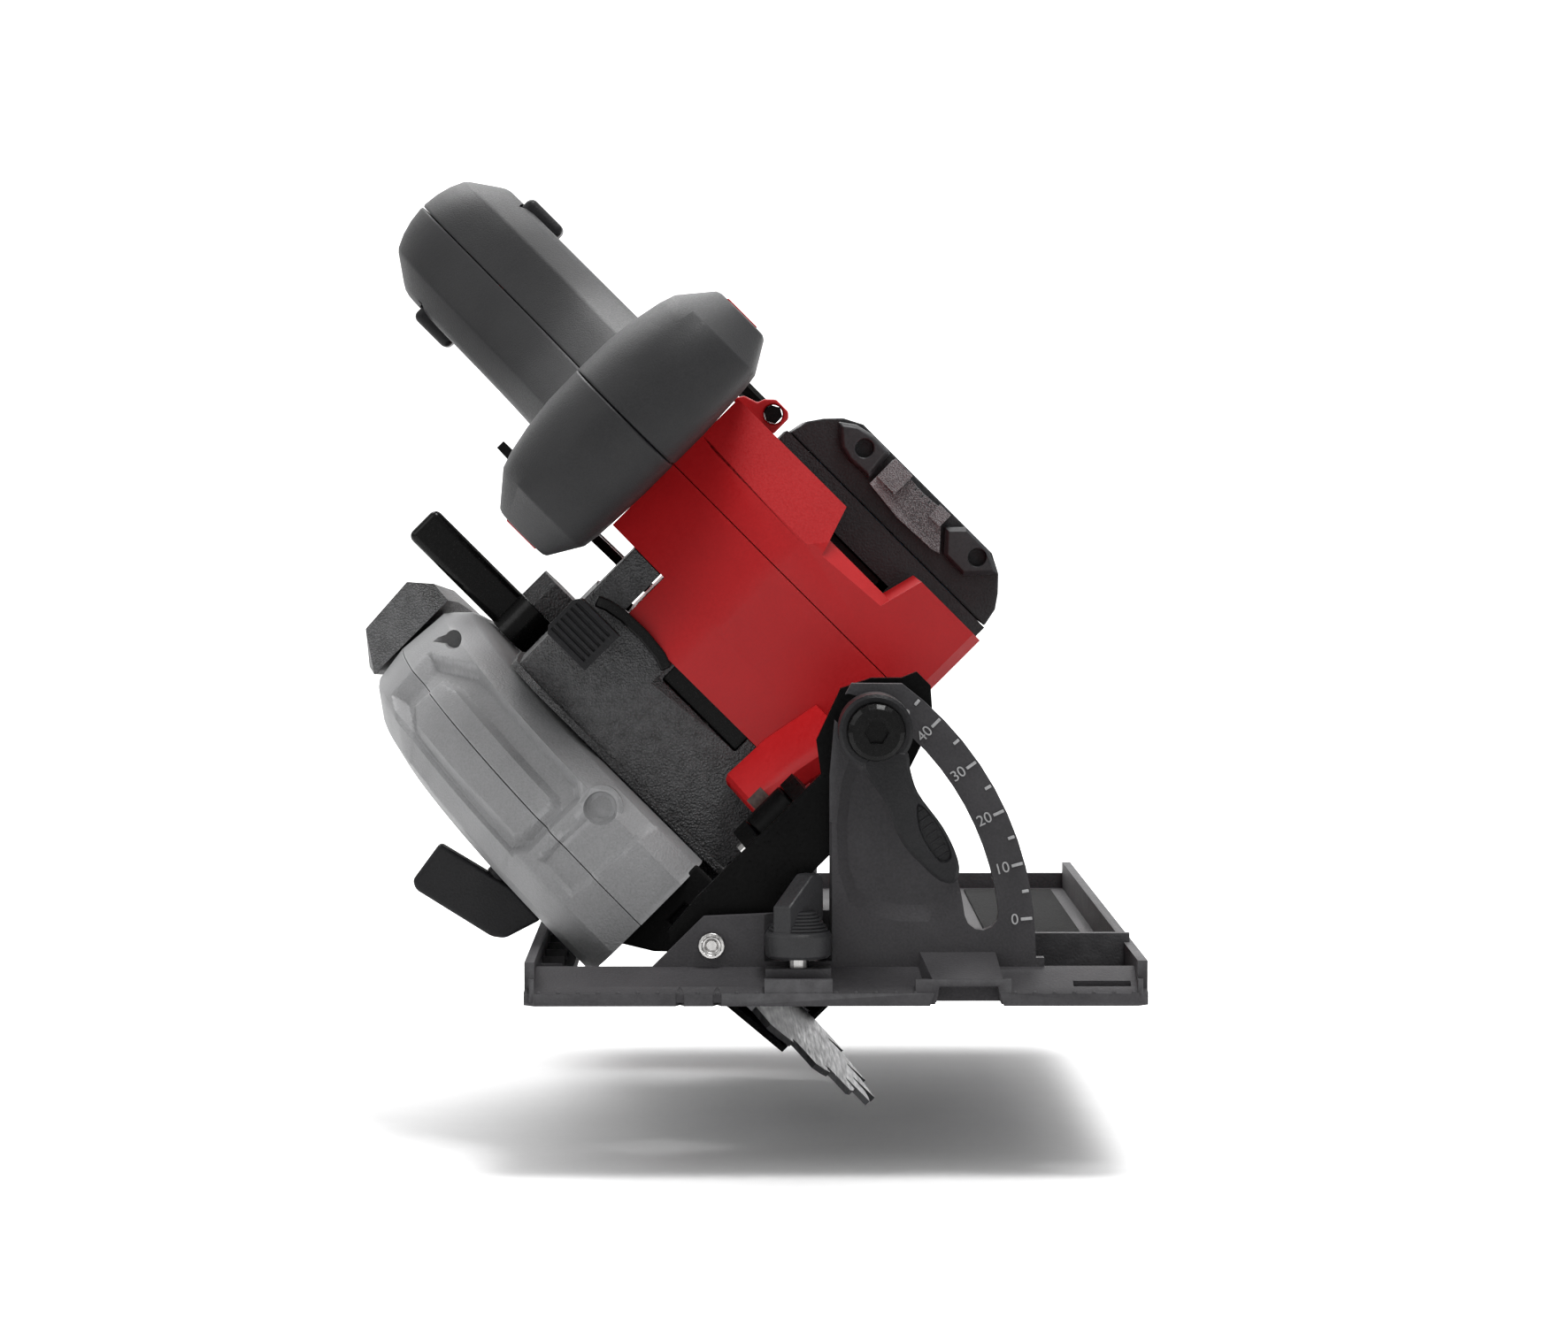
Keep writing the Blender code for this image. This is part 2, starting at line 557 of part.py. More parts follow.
def build_housing(saw, mats):
    """The two red motor housing shells with their hollow insides."""
    drum = [(58.3, 8), (61, 6), (174, 6), (174, 81.6), (58.3, 81.6)]
    main = [(58.3, 12), (66, 4), (228, 5), (240, 20), (246, 50), (270, 62), (296, 72), (304, 92),
            (300, 103), (66, 103), (58.3, 96)]
    inner = make("housing_inner", prism("x", main, 62, CENTRE_U - HALF), mats["red"], saw)
    join(inner, prism("x", drum, 46.3, 64))
    join(inner, prism("x", [(48.8, 12), (60, 12), (60, 26.6), (50.5, 26.6), (48.8, 24)],
                      33, 58.4))
    clamp = depth_clamp_centre()
    join(inner, rod("x", clamp, 9, 53.4, 64, 20))
    cut(inner, prism("x", inset(drum, 3), 49.4, 70))
    cut(inner, prism("x", inset(main, 3), 65, CENTRE_U + 5))
    cut(inner, rod("x", clamp, 4.2, 45, 61, 16))
    cut(inner, rod("x", (ARBOR_D, MOTOR_V), 12, 44, 55, 20))
    outer = make("housing_outer", prism("x", main, CENTRE_U + HALF, 99.2), mats["red"], saw)
    front = [(58.3, 12), (66, 4), (127.6, 4.4), (127.6, 103), (66, 103), (58.3, 96)]
    join(outer, prism("x", front, 98, 113.7))
    cut(outer, prism("x", inset(main, 3), CENTRE_U - 5, 96.2))
    cut(outer, box((100.2, 118), (50, 140), (31.6, 55)))
    make("led_lens", box((34, 39.5), (46.2, 48.5), (14.6, 20)), mats["lens"], saw, (36, 47, 17))


def depth_clamp_centre():
    """Place of the depth clamp bolt on the saw, as d and v."""
    t = math.radians(DEPTH_SLOT_START)
    return (DEPTH_D + DEPTH_SLOT_R * math.cos(t), DEPTH_V + DEPTH_SLOT_R * math.sin(t))


def build_depth_clamp(saw, mats):
    """Bolt and lever that clamp the saw to the depth quadrant."""
    d, v = depth_clamp_centre()
    profile = [(34.4, 5.6), (39.7, 5.6), (39.7, 3.8), (60.7, 3.8)]
    make("depth_clamp_bolt", turned("x", profile, (d, v), 16), mats["steel"], saw, (47, d, v))
    lever = make("depth_lever", ring("x", (d, v), 4.1, 9, 40, 49.6, 20), mats["plastic"], saw,
                 (40, d, v))
    arm = [(d + 6, v - 5), (d + 30, v + 2), (d + 46, v + 10), (d + 47, v + 17), (d + 42, v + 20),
           (d + 24, v + 14), (d + 4, v + 7.5)]
    join(lever, prism("x", arm, 40.1, 46))


def build_grip(saw, mats):
    """The two halves of the rear handle, with openings for trigger and lock-off."""
    arch = [(92, 103.4), (150, 103.4), (158, 124), (172, 146), (184, 168), (196, 180), (208, 180),
            (228, 168), (250, 144), (266, 120), (270, 103.4), (300, 103.4), (296, 124), (276, 162),
            (246, 194), (216, 213), (196, 217.5), (179, 211), (164, 192), (142, 160), (106, 142),
            (92, 139)]
    for name, sign in (("inner", -1), ("outer", 1)):
        rings = []
        for off, amount in ((HALF, 0), (13, 0), (19.5, 3.2), (HANDLE_HALF, 9)):
            rings.append([(CENTRE_U + sign * off, d, v) for d, v in inset(arch, amount)])
        grip = make(f"grip_{name}", loft(rings), mats["grip"], saw, (CENTRE_U, 196, 190))
        low, high = sorted((CENTRE_U - sign * 2, CENTRE_U + sign * 17))
        cavity = [(170, 172), (184, 170), (196, 183), (240, 176), (244, 190), (214, 208),
                  (196, 211), (182, 205), (168, 186)]
        cut(grip, prism("x", cavity, low, high))
        low, high = sorted((CENTRE_U - sign * 2, CENTRE_U + sign * 7.5))
        cut(grip, box((low, high), (194, 230), (160, 190)))
        low, high = sorted((CENTRE_U, CENTRE_U + sign * 30))
        cut(grip, box((low, high), (174, 190.5), (175, 197.5)))


def build_switch(saw, mats):
    """Trigger, its pin, the lock-off bar, the switch and the motor's control board."""
    hinge = (203.0, 192.0)
    body = (arc(hinge, 5.5, 60, 200, 6) + [(199, 178), (203, 163), (208, 160.5), (218, 168),
                                           (227, 178), (226, 186)])
    trigger = make("trigger", prism("x", body, 80.6, 93.4), mats["red"], saw, (87, *hinge))
    cut(trigger, rod("x", hinge, 2.3, 75, 100, 12))
    make("trigger_pin", rod("x", hinge, 2.0, 71, 103, 12), mats["steel"], saw, (87, *hinge))
    bar = [(176.4, 182), (188, 182), (188, 194), (176.4, 194)]
    lock = make("lock_off_button", prism("x", bar, 66, 108), mats["plastic"], saw, (87, 182, 188))
    for low, high in ((61.8, 67), (107, 112.2)):
        lug = inset([(175.4, 180.8), (189.2, 180.8), (189.2, 195.2), (175.4, 195.2)], 0.4)
        join(lock, prism("x", lug, low, high))
    make("switch_body", box((76, 98), (206, 219), (198.6, 203.6)), mats["black"], saw, (87, 212, 200))
    make("control_board", box((66, 84), (100, 190), (72, 90)), mats["board"], saw, (75, 140, 80))


def build_pommel(saw, mats):
    """The two halves of the wide front handle."""
    rows = ((HALF, 20, 90, 103.4, 141), (22, 20.6, 89.4, 103.6, 139.4), (34, 24, 86, 105, 136),
            (42, 31, 80, 107.5, 130.5), (44.2, 38, 74, 110.5, 126))
    for name, sign in (("inner", -1), ("outer", 1)):
        rings = []
        for off, d0, d1, v0, v1 in rows:
            u = CENTRE_U + sign * off
            dc, vc, a, b = (d0 + d1) / 2, (v0 + v1) / 2, (d1 - d0) / 2, (v1 - v0) / 2
            rings.append([(u, dc + a * p, vc + b * q) for p, q in rounded(16)])
        make(f"pommel_{name}", loft(rings), mats["grip"], saw, (CENTRE_U, 55, 122))


def rounded(count):
    """Unit outline between a circle and a square."""
    result = []
    for i in range(count):
        t = 2 * math.pi * (i + 0.5) / count
        c, s = math.cos(t), math.sin(t)
        result.append((math.copysign(abs(c) ** 0.7, c), math.copysign(abs(s) ** 0.7, s)))
    return result


def build_battery(saw, mats):
    """Sliding pack: rail base, cover, cell block, latches and the saw's terminal block."""
    side = [(1.6, 130), (86, 130), (86, 246), (80, 250), (8, 250), (1.6, 246)]
    base = [(d, v) for v, d in side]
    case = make("battery_base", prism("x", base[::-1], 99.6, 117.8), mats["black"], saw,
                (100, 190, 44))
    cut(case, prism("x", inset([(130, 1.6), (250, 1.6), (250, 86), (130, 86)], 3), 109, 125))
    cut(case, box((95, 106), (120, 192), (31, 57)))
    rings = []
    for u, cutback in ((118.1, 0), (127, 0.5), (133, 5), (137, 12)):
        rings.append([(u, 130 + cutback * 0.4, 1.6 + cutback), (u, 250 - cutback, 1.6 + cutback),
                      (u, 250 - cutback, 86 - cutback), (u, 130 + cutback * 0.4, 86 - cutback)])
    cover = make("battery_cover", loft(rings), mats["black"], saw, (128, 190, 44))
    cut(cover, box((115, 131), (135, 244), (8, 80)))
    cells = arcs_outline(5)
    make("battery_cell_pack", prism("y", cells, 140, 240), mats["cells"], saw, (120, 190, 44))
    for name, face, out in (("upper", 86, 1), ("lower", 1.6, -1)):
        pocket = sorted((face - out * 6, face + out * 3))
        latch = sorted((face - out * 3.2, face + out * 1.2))
        cut(case, box((102, 115), (221, 239), pocket))
        make(f"battery_latch_{name}", box((102.5, 114.5), (221.5, 238.5), latch),
             mats["plastic"], saw, (108, 230, face))
    make("terminal_block", box((99.5, 105.4), (134, 184), (34, 54)), mats["plastic"], saw,
         (100, 160, 44))


def arcs_outline(count):
    """Outline of a row of round cells side by side, as u and v."""
    pitch = 13.4
    right, left = [], []
    for i in range(count):
        v = 17.2 + pitch * i
        right += [(119.5 + 8.2 * math.cos(t), v + 6.7 * math.sin(t))
                  for t in (math.radians(a) for a in (-60, -20, 20, 60))]
        left += [(119.5 - 8.2 * math.cos(t), v + 6.7 * math.sin(t))
                 for t in (math.radians(a) for a in (-60, -20, 20, 60))]
    return right + left[::-1]


def build_hook(saw, mats):
    """Rafter hook on the stud of its bracket over the gear case."""
    eye = (150.0, 101.0)
    hook = make("rafter_hook", ring("x", eye, 3.3, 7.5, 12.6, 25, 20), mats["black_steel"], saw,
                (12.6, *eye))
    bar = [(147.6, 107), (152.6, 107), (152.6, 140), (150.6, 145), (148.6, 145), (147.6, 143)]
    join(hook, prism("x", bar, 12.7, 24.9))
    post = [(140, 95.6), (160, 95.6), (160, 103), (156, 108), (144, 108), (140, 103)]
    bracket = make("hook_bracket", prism("x", post, 25.4, 35), mats["casting_dark"], saw,
                   (30, *eye))
    join(bracket, rod("x", eye, 2.9, 13.4, 30, 16))


def build_wrench(saw, mats):
    """Hex key kept beside the battery in a clip on the housing."""
    clip = [(114.1, 88.4), (122, 88.4), (122, 96), (119, 98.4), (114.1, 98.4)]
    holder = make("wrench_clip", prism("y", clip, 104, 116), mats["red"], saw, (118, 110, 93))
    cut(holder, rod("y", (118, 92.6), 3.1, 100, 120, 16))
    key = make("blade_wrench", prism("y", hexagon((118, 92.6), 4.8), 98, 214), mats["black_steel"],
               saw, (118, 110, 92.6))
    join(key, prism("z", hexagon((118, 211), 4.8), 91.4, 110))


def materials():
    """Every finish on the saw."""
    return {
        "casting": material("grey_powder_coat", (0.14, 0.14, 0.145), 0.55, 0.0),
        "casting_dark": material("dark_powder_coat", (0.045, 0.045, 0.048), 0.6, 0.0),
        "plastic": material("black_moulding", (0.02, 0.02, 0.022), 0.5, 0.0),
        "grip": material("soft_touch_grey", (0.055, 0.055, 0.058), 0.75, 0.0),
        "red": material("red_moulding", (0.42, 0.012, 0.016), 0.42, 0.0),
        "black": material("grained_black", (0.018, 0.018, 0.02), 0.6, 0.0),
        "steel": material("bright_steel", (0.62, 0.62, 0.63), 0.25, 1.0),
        "steel_dark": material("phosphated_steel", (0.2, 0.2, 0.21), 0.4, 1.0),
        "black_steel": material("black_oxide", (0.025, 0.025, 0.027), 0.35, 0.6),
        "blade": material("ground_blade", (0.45, 0.45, 0.46), 0.3, 1.0),
        "guard_metal": material("cast_magnesium", (0.5, 0.5, 0.52), 0.45, 0.9),
        "copper": material("copper_winding", (0.6, 0.25, 0.12), 0.4, 0.9),
        "lens": material("clear_lens", (0.85, 0.87, 0.9), 0.1, 0.0),
        "board": material("potted_board", (0.03, 0.07, 0.04), 0.5, 0.0),
        "cells": material("cell_wrap", (0.1, 0.22, 0.4), 0.4, 0.0),
    }


def main():
    """Build the whole saw."""
    clear_scene()
    mats = materials()
    base = datum("shoe_datum", (0, -SHOE_LENGTH / 2, 0))
    saw = datum("saw_datum", (PIVOT_X, -SHOE_LENGTH / 2, PIVOT_Z), (0, -BEVEL, 0))
    build_shoe(base, mats)
    build_base_fittings(base, mats)
    build_tilt_frame(saw, base, mats)
    build_blade(saw, mats)
    build_motor(saw, mats)
    build_gear_case(saw, mats)
    build_guards(saw, mats)
    build_housing(saw, mats)
    build_depth_clamp(saw, mats)
    build_grip(saw, mats)
    build_switch(saw, mats)
    build_pommel(saw, mats)
    build_battery(saw, mats)
    build_hook(saw, mats)
    build_wrench(saw, mats)


main()
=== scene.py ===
import json
import math

import bmesh
import bpy
from mathutils import Matrix, Vector


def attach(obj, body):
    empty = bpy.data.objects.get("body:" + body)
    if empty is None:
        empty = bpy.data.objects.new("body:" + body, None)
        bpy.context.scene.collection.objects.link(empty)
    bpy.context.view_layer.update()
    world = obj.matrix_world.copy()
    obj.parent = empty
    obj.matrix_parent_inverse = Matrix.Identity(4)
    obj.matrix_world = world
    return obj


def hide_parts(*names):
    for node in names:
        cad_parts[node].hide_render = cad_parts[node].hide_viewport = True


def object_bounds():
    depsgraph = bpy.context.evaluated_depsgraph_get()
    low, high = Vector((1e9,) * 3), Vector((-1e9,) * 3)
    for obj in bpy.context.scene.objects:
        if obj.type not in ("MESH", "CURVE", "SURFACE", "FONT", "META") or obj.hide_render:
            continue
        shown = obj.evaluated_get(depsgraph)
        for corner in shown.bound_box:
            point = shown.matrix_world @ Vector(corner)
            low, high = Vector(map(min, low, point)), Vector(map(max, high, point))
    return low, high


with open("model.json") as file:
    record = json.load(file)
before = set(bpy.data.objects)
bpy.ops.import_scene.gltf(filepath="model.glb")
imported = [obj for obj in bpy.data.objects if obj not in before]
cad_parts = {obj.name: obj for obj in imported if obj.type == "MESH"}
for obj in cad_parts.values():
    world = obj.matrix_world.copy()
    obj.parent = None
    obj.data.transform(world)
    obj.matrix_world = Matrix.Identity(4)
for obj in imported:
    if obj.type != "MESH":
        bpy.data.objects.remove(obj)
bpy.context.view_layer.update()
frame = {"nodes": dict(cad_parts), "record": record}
MM = 0.001

# The shoe's front edge, and the bevel pivot that the saw leans about by 45 degrees.
EDGE_Y = -0.1575
PIVOT = Vector((-0.0346, EDGE_Y, 0.0154))
SHOE = Matrix.Translation((0, EDGE_Y, 0)) @ Matrix.Scale(MM, 4)
SAW = Matrix.Translation(PIVOT) @ Matrix.Rotation(math.radians(-45), 4, "Y") @ Matrix.Scale(MM, 4)

# Places on the saw, in millimetres: u from blade to motor, d rearward, v up the saw.
CENTRE_U = 87.0
SEAM_U = -12.0
HALF = 0.15
ARBOR = (145.0, 14.0)
MOTOR = (145.0, 38.0)
CLAMP = (10.9, 76.4)
BEVEL_PIVOT = (-34.6, 15.4)
FENCE = (-10.4, 10.0)
LEVER_ANGLE = 150.0
DEPTH_CLAMP = (226.15, 34.44)


# ---------------------------------------------------------------- materials
def tree(name, colour, roughness, metallic=0.0):
    """A new Principled material and its node tree."""
    mat = bpy.data.materials.new(name)
    mat.use_nodes = True
    shader = mat.node_tree.nodes["Principled BSDF"]
    shader.inputs["Base Color"].default_value = (*colour, 1)
    shader.inputs["Roughness"].default_value = roughness
    shader.inputs["Metallic"].default_value = metallic
    return mat, mat.node_tree, shader


def noise(nodes, scale, detail=2.0):
    """A noise texture in the object's own metres."""
    tex = nodes.nodes.new("ShaderNodeTexNoise")
    tex.inputs["Scale"].default_value = scale
    tex.inputs["Detail"].default_value = detail
    coords = nodes.nodes.new("ShaderNodeTexCoord")
    nodes.links.new(coords.outputs["Object"], tex.inputs["Vector"])
    return tex.outputs["Fac"]


def math_node(nodes, operation, first, second):
    """Combine two values, each a socket or a number."""
    node = nodes.nodes.new("ShaderNodeMath")
    node.operation = operation
    for socket, value in zip(node.inputs, (first, second)):
        if isinstance(value, (int, float)):
            socket.default_value = value
        else:
            nodes.links.new(value, socket)
    return node.outputs[0]


def ramp(nodes, source, stops):
    """A colour ramp over a value."""
    node = nodes.nodes.new("ShaderNodeValToRGB")
    while len(node.color_ramp.elements) < len(stops):
        node.color_ramp.elements.new(0.5)
    for element, (place, colour) in zip(node.color_ramp.elements, stops):
        element.position = place
        element.color = (*colour, 1)
    nodes.links.new(source, node.inputs["Fac"])
    return node.outputs["Color"]


def vary(nodes, shader, source, rough, spread):
    """Let a texture move the roughness up and down."""
    gloss = nodes.nodes.new("ShaderNodeMapRange")
    gloss.inputs["From Min"].default_value = 0.3
    gloss.inputs["From Max"].default_value = 0.7
    gloss.inputs["To Min"].default_value = rough - spread
    gloss.inputs["To Max"].default_value = rough + spread
    nodes.links.new(source, gloss.inputs["Value"])
    nodes.links.new(gloss.outputs["Result"], shader.inputs["Roughness"])


def dent(nodes, shader, source, strength, distance):
    """Raise and lower the surface by a texture."""
    node = nodes.nodes.new("ShaderNodeBump")
    node.inputs["Strength"].default_value = strength
    node.inputs["Distance"].default_value = distance
    nodes.links.new(source, node.inputs["Height"])
    nodes.links.new(node.outputs["Normal"], shader.inputs["Normal"])


def worn(nodes, colour, highlight_colour, amount, highlight_breakup):
    """Blend a lighter copy of the colour into sharp edges as a painted highlight, broken up by noise.
    """
    geometry = nodes.nodes.new("ShaderNodeNewGeometry")
    edge = nodes.nodes.new("ShaderNodeMapRange")
    edge.inputs["From Min"].default_value = 0.52
    edge.inputs["From Max"].default_value = 0.62
    nodes.links.new(geometry.outputs["Pointiness"], edge.inputs["Value"])
    broken = math_node(nodes, "MULTIPLY", edge.outputs["Result"], highlight_breakup)
    share = math_node(nodes, "MULTIPLY", broken, amount)
    mix = nodes.nodes.new("ShaderNodeMix")
    mix.data_type = "RGBA"
    nodes.links.new(share, mix.inputs["Factor"])
    nodes.links.new(colour, mix.inputs["A"])
    mix.inputs["B"].default_value = (*highlight_colour, 1)
    return mix.outputs["Result"]


def grained(name, dark, light, rough, scale, bump, highlight_amount=0.0, highlight_colour=(0.3, 0.3, 0.3), shine=0.5,
            distance=0.0003):
    """A moulded or coated surface: grain in bump and gloss, slow mottle, and a painted highlight on
    sharp edges.
    """
    mat, nodes, shader = tree(name, dark, rough)
    fine = noise(nodes, scale, 3.0)
    slow = noise(nodes, 45.0, 4.0)
    both = math_node(nodes, "MULTIPLY", math_node(nodes, "ADD", fine, slow), 0.5)
    colour = ramp(nodes, both, ((0.38, dark), (0.62, light)))
    # Painted highlight: sharp edges turn to a lighter grey.
    if highlight_amount:
        colour = worn(nodes, colour, highlight_colour, highlight_amount, noise(nodes, 260.0, 3.0))
    nodes.links.new(colour, shader.inputs["Base Color"])
    vary(nodes, shader, fine, rough, 0.08)
    dent(nodes, shader, fine, bump, distance)
    shader.inputs["Specular IOR Level"].default_value = shine
    return mat


def sparkling(name, dark, light, rough, scale, bump):
    """A coarse powder coat: round pebbles that catch the light one by one."""
    mat, nodes, shader = tree(name, dark, rough)
    coords = nodes.nodes.new("ShaderNodeTexCoord")
    cells = nodes.nodes.new("ShaderNodeTexVoronoi")
    cells.inputs["Scale"].default_value = scale
    nodes.links.new(coords.outputs["Object"], cells.inputs["Vector"])
    fine = noise(nodes, scale * 1.7, 3.0)
    slow = noise(nodes, 45.0, 4.0)
    grain = math_node(nodes, "SUBTRACT", fine, cells.outputs["Distance"])
    faint = math_node(nodes, "MULTIPLY", slow, 0.3)
    both = math_node(nodes, "ADD", math_node(nodes, "MULTIPLY", grain, 0.9), faint)
    colour = ramp(nodes, both, ((0.0, dark), (0.55, light)))
    # Painted highlight: a lighter copy of the coat on its sharp edges.
    highlight_colour = tuple(c * 2.2 for c in light)
    colour = worn(nodes, colour, highlight_colour, 0.7, noise(nodes, 260.0, 3.0))
    nodes.links.new(colour, shader.inputs["Base Color"])
    vary(nodes, shader, fine, rough, 0.1)
    dent(nodes, shader, grain, bump, 0.0005)
    return mat


def brushed(name, colour, rough, stretch, bump=0.15):
    """Metal with fine lines drawn one way across it."""
    mat, nodes, shader = tree(name, colour, rough, 1.0)
    coords = nodes.nodes.new("ShaderNodeTexCoord")
    scale = nodes.nodes.new("ShaderNodeMapping")
    scale.inputs["Scale"].default_value = stretch
    nodes.links.new(coords.outputs["Object"], scale.inputs["Vector"])
    lines = nodes.nodes.new("ShaderNodeTexNoise")
    lines.inputs["Scale"].default_value = 1.0
    lines.inputs["Detail"].default_value = 4.0
    nodes.links.new(scale.outputs["Vector"], lines.inputs["Vector"])
    low = tuple(c * 0.7 for c in colour)
    tint = ramp(nodes, lines.outputs["Fac"], ((0.3, low), (0.7, colour)))
    nodes.links.new(tint, shader.inputs["Base Color"])
    vary(nodes, shader, lines.outputs["Fac"], rough + 0.02, 0.1)
    dent(nodes, shader, lines.outputs["Fac"], bump, 0.0002)
    return mat


def make_materials():
    """Every finish on the saw, by the record's slot name, and five of scene.py's own."""
    return {
        # casting_grey and guard_grey: the number after the bump and the grey after it set the painted
        # edge highlight.
        "casting_grey": grained("casting_grey", (0.030, 0.029, 0.031), (0.044, 0.042, 0.045), 0.62,
                                1400, 0.5, 0.5, (0.16, 0.16, 0.165), 0.18),
        "casting_dark": sparkling("casting_dark", (0.006, 0.006, 0.006), (0.058, 0.058, 0.060),
                                  0.44, 1500, 0.9),
        "guard_grey": grained("guard_grey", (0.175, 0.176, 0.179), (0.225, 0.226, 0.23), 0.5,
                              1500, 0.6, 0.45, (0.42, 0.42, 0.43), 0.35),
        "black_moulding": grained("black_moulding", (0.008, 0.008, 0.009), (0.015, 0.015, 0.016),
                                  0.42, 1600, 0.35, shine=0.18),
        "gloss_black": grained("gloss_black", (0.002, 0.002, 0.002), (0.003, 0.003, 0.003), 0.24,
                               900, 0.04, shine=0.16),
        "soft_grip": grained("soft_grip", (0.017, 0.017, 0.018), (0.024, 0.024, 0.025), 0.52,
                             2000, 0.3, shine=0.22),
        "red_moulding": grained("red_moulding", (0.33, 0.004, 0.006), (0.38, 0.006, 0.008), 0.4,
                                1500, 0.1, shine=0.3),
        "battery_black": grained("battery_black", (0.010, 0.010, 0.011), (0.022, 0.022, 0.024),
                                 0.5, 1700, 0.8, shine=0.3),
        "bright_steel": brushed("bright_steel", (0.62, 0.61, 0.60), 0.28, (900, 900, 120)),
        "plated_steel": brushed("plated_steel", (0.22, 0.22, 0.23), 0.4, (200, 1200, 200)),
        "black_steel": grained("black_steel", (0.002, 0.002, 0.002), (0.005, 0.005, 0.005), 0.34,
                               900, 0.15, shine=0.05),
        "blade_steel": brushed("blade_steel", (0.16, 0.16, 0.165), 0.38, (1400, 60, 60)),
        "guard_metal": brushed("guard_metal", (0.13, 0.13, 0.135), 0.42, (400, 400, 400), 0.3),
        "copper": brushed("copper", (0.55, 0.22, 0.10), 0.4, (2000, 200, 200)),
        "lens": grained("lens", (0.04, 0.02, 0.02), (0.09, 0.06, 0.05), 0.2, 700, 0.1, shine=0.3),
        "board": grained("board", (0.01, 0.05, 0.02), (0.02, 0.08, 0.03), 0.5, 400, 0.2),
        "cell_wrap": grained("cell_wrap", (0.05, 0.15, 0.32), (0.08, 0.2, 0.4), 0.3, 300, 0.05),
        "lever_grey": grained("lever_grey", (0.016, 0.016, 0.017), (0.026, 0.026, 0.028), 0.46,
                              1500, 0.3, shine=0.3),
        "panel_grey": sparkling("panel_grey", (0.05, 0.05, 0.053), (0.20, 0.20, 0.205), 0.5,
                                2200, 0.6),
        "scale_grey": grained("scale_grey", (0.26, 0.26, 0.265), (0.36, 0.36, 0.365), 0.5, 1600,
                              0.3),
        "flat_black": grained("flat_black", (0.004, 0.004, 0.004), (0.009, 0.009, 0.009), 0.85,
                              1500, 0.4, shine=0.1),
        "cap_black": grained("cap_black", (0.016, 0.016, 0.018), (0.026, 0.026, 0.028), 0.4, 1500,
                             0.2, shine=0.3),
    }


MATS = make_materials()


# ---------------------------------------------------------------- solids, in millimetres
def point(axis, along, a, b):
    """A point from its place along an axis and its two other coordinates in order."""
    if axis == "x":
        return (along, a, b)
    if axis == "y":
        return (a, along, b)
    return (a, b, along)


def loft(rings, closed=False):
    """Skin a row of rings that have the same number of points, and cap its two ends."""
    bm = bmesh.new()
    rows = [[bm.verts.new(p) for p in ring] for ring in rings]
    pairs = list(zip(rows, rows[1:]))
    if closed:
        pairs.append((rows[-1], rows[0]))
    for low, high in pairs:
        for i in range(len(low)):
            j = (i + 1) % len(low)
            bm.faces.new((low[i], low[j], high[j], high[i]))
    if not closed:
        bm.faces.new(rows[0])
        bm.faces.new(rows[-1])
    bmesh.ops.recalc_face_normals(bm, faces=bm.faces)
    return bm


def prism(axis, outline, low, high):
    """A straight solid: a closed outline carried along one axis."""
    return loft([[point(axis, s, a, b) for a, b in outline] for s in (low, high)])


def box(x, y, z):
    """A rectangular block from its limits on each axis."""
    return prism("z", [(x[0], y[0]), (x[1], y[0]), (x[1], y[1]), (x[0], y[1])], *z)


def circle(centre, radius, t):
    """A point on a circle."""
    return (centre[0] + radius * math.cos(t), centre[1] + radius * math.sin(t))


def turned(axis, profile, centre, steps=40):
    """A full turn of a profile (along, radius) about an axis."""
    turns = [2 * math.pi * i / steps for i in range(steps)]
    return loft([[point(axis, s, *circle(centre, r, t)) for t in turns] for s, r in profile])


def rod(axis, centre, radius, low, high, steps=32):
    """A plain cylinder, used to cut and to join."""
    return turned(axis, [(low, radius), (high, radius)], centre, steps)


def swept(axis, section, centre, start, end, steps):
    """A closed section (along, radius) swept through an angle about an axis."""
    whole = abs(end - start) >= 360
    count = steps if whole else steps + 1
    turns = [math.radians(start + (end - start) * i / steps) for i in range(count)]
    return loft([[point(axis, s, *circle(centre, r, t)) for s, r in section] for t in turns],
                closed=whole)


def arc(centre, radius, start, end, steps):
    """Points on a circular arc, both ends included."""
    return [circle(centre, radius, math.radians(start + (end - start) * i / steps))
            for i in range(steps + 1)]


def slot_outline(centre, radius, half, start, end, steps=40):
    """Outline of an arc slot with round ends."""
    outer = arc(centre, radius + half, start, end, steps)
    inner = arc(centre, radius - half, end, start, steps)
    far = arc(circle(centre, radius, math.radians(end)), half, end, end + 180, 10)[1:-1]
    near = arc(circle(centre, radius, math.radians(start)), half, start + 180, start + 360, 10)
    return outer + far + inner + near[1:-1]


def inset(outline, amount):
    """Move every side of a counter-clockwise outline inward by one distance."""
    result = []
    for i, here in enumerate(outline):
        before = Vector(here) - Vector(outline[i - 1])
        after = Vector(outline[(i + 1) % len(outline)]) - Vector(here)
        n1 = Vector((-before.y, before.x)).normalized()
        n2 = Vector((-after.y, after.x)).normalized()
        mean = (n1 + n2) / (1 + n1.dot(n2))
        result.append(tuple(Vector(here) + mean * amount))
    return result


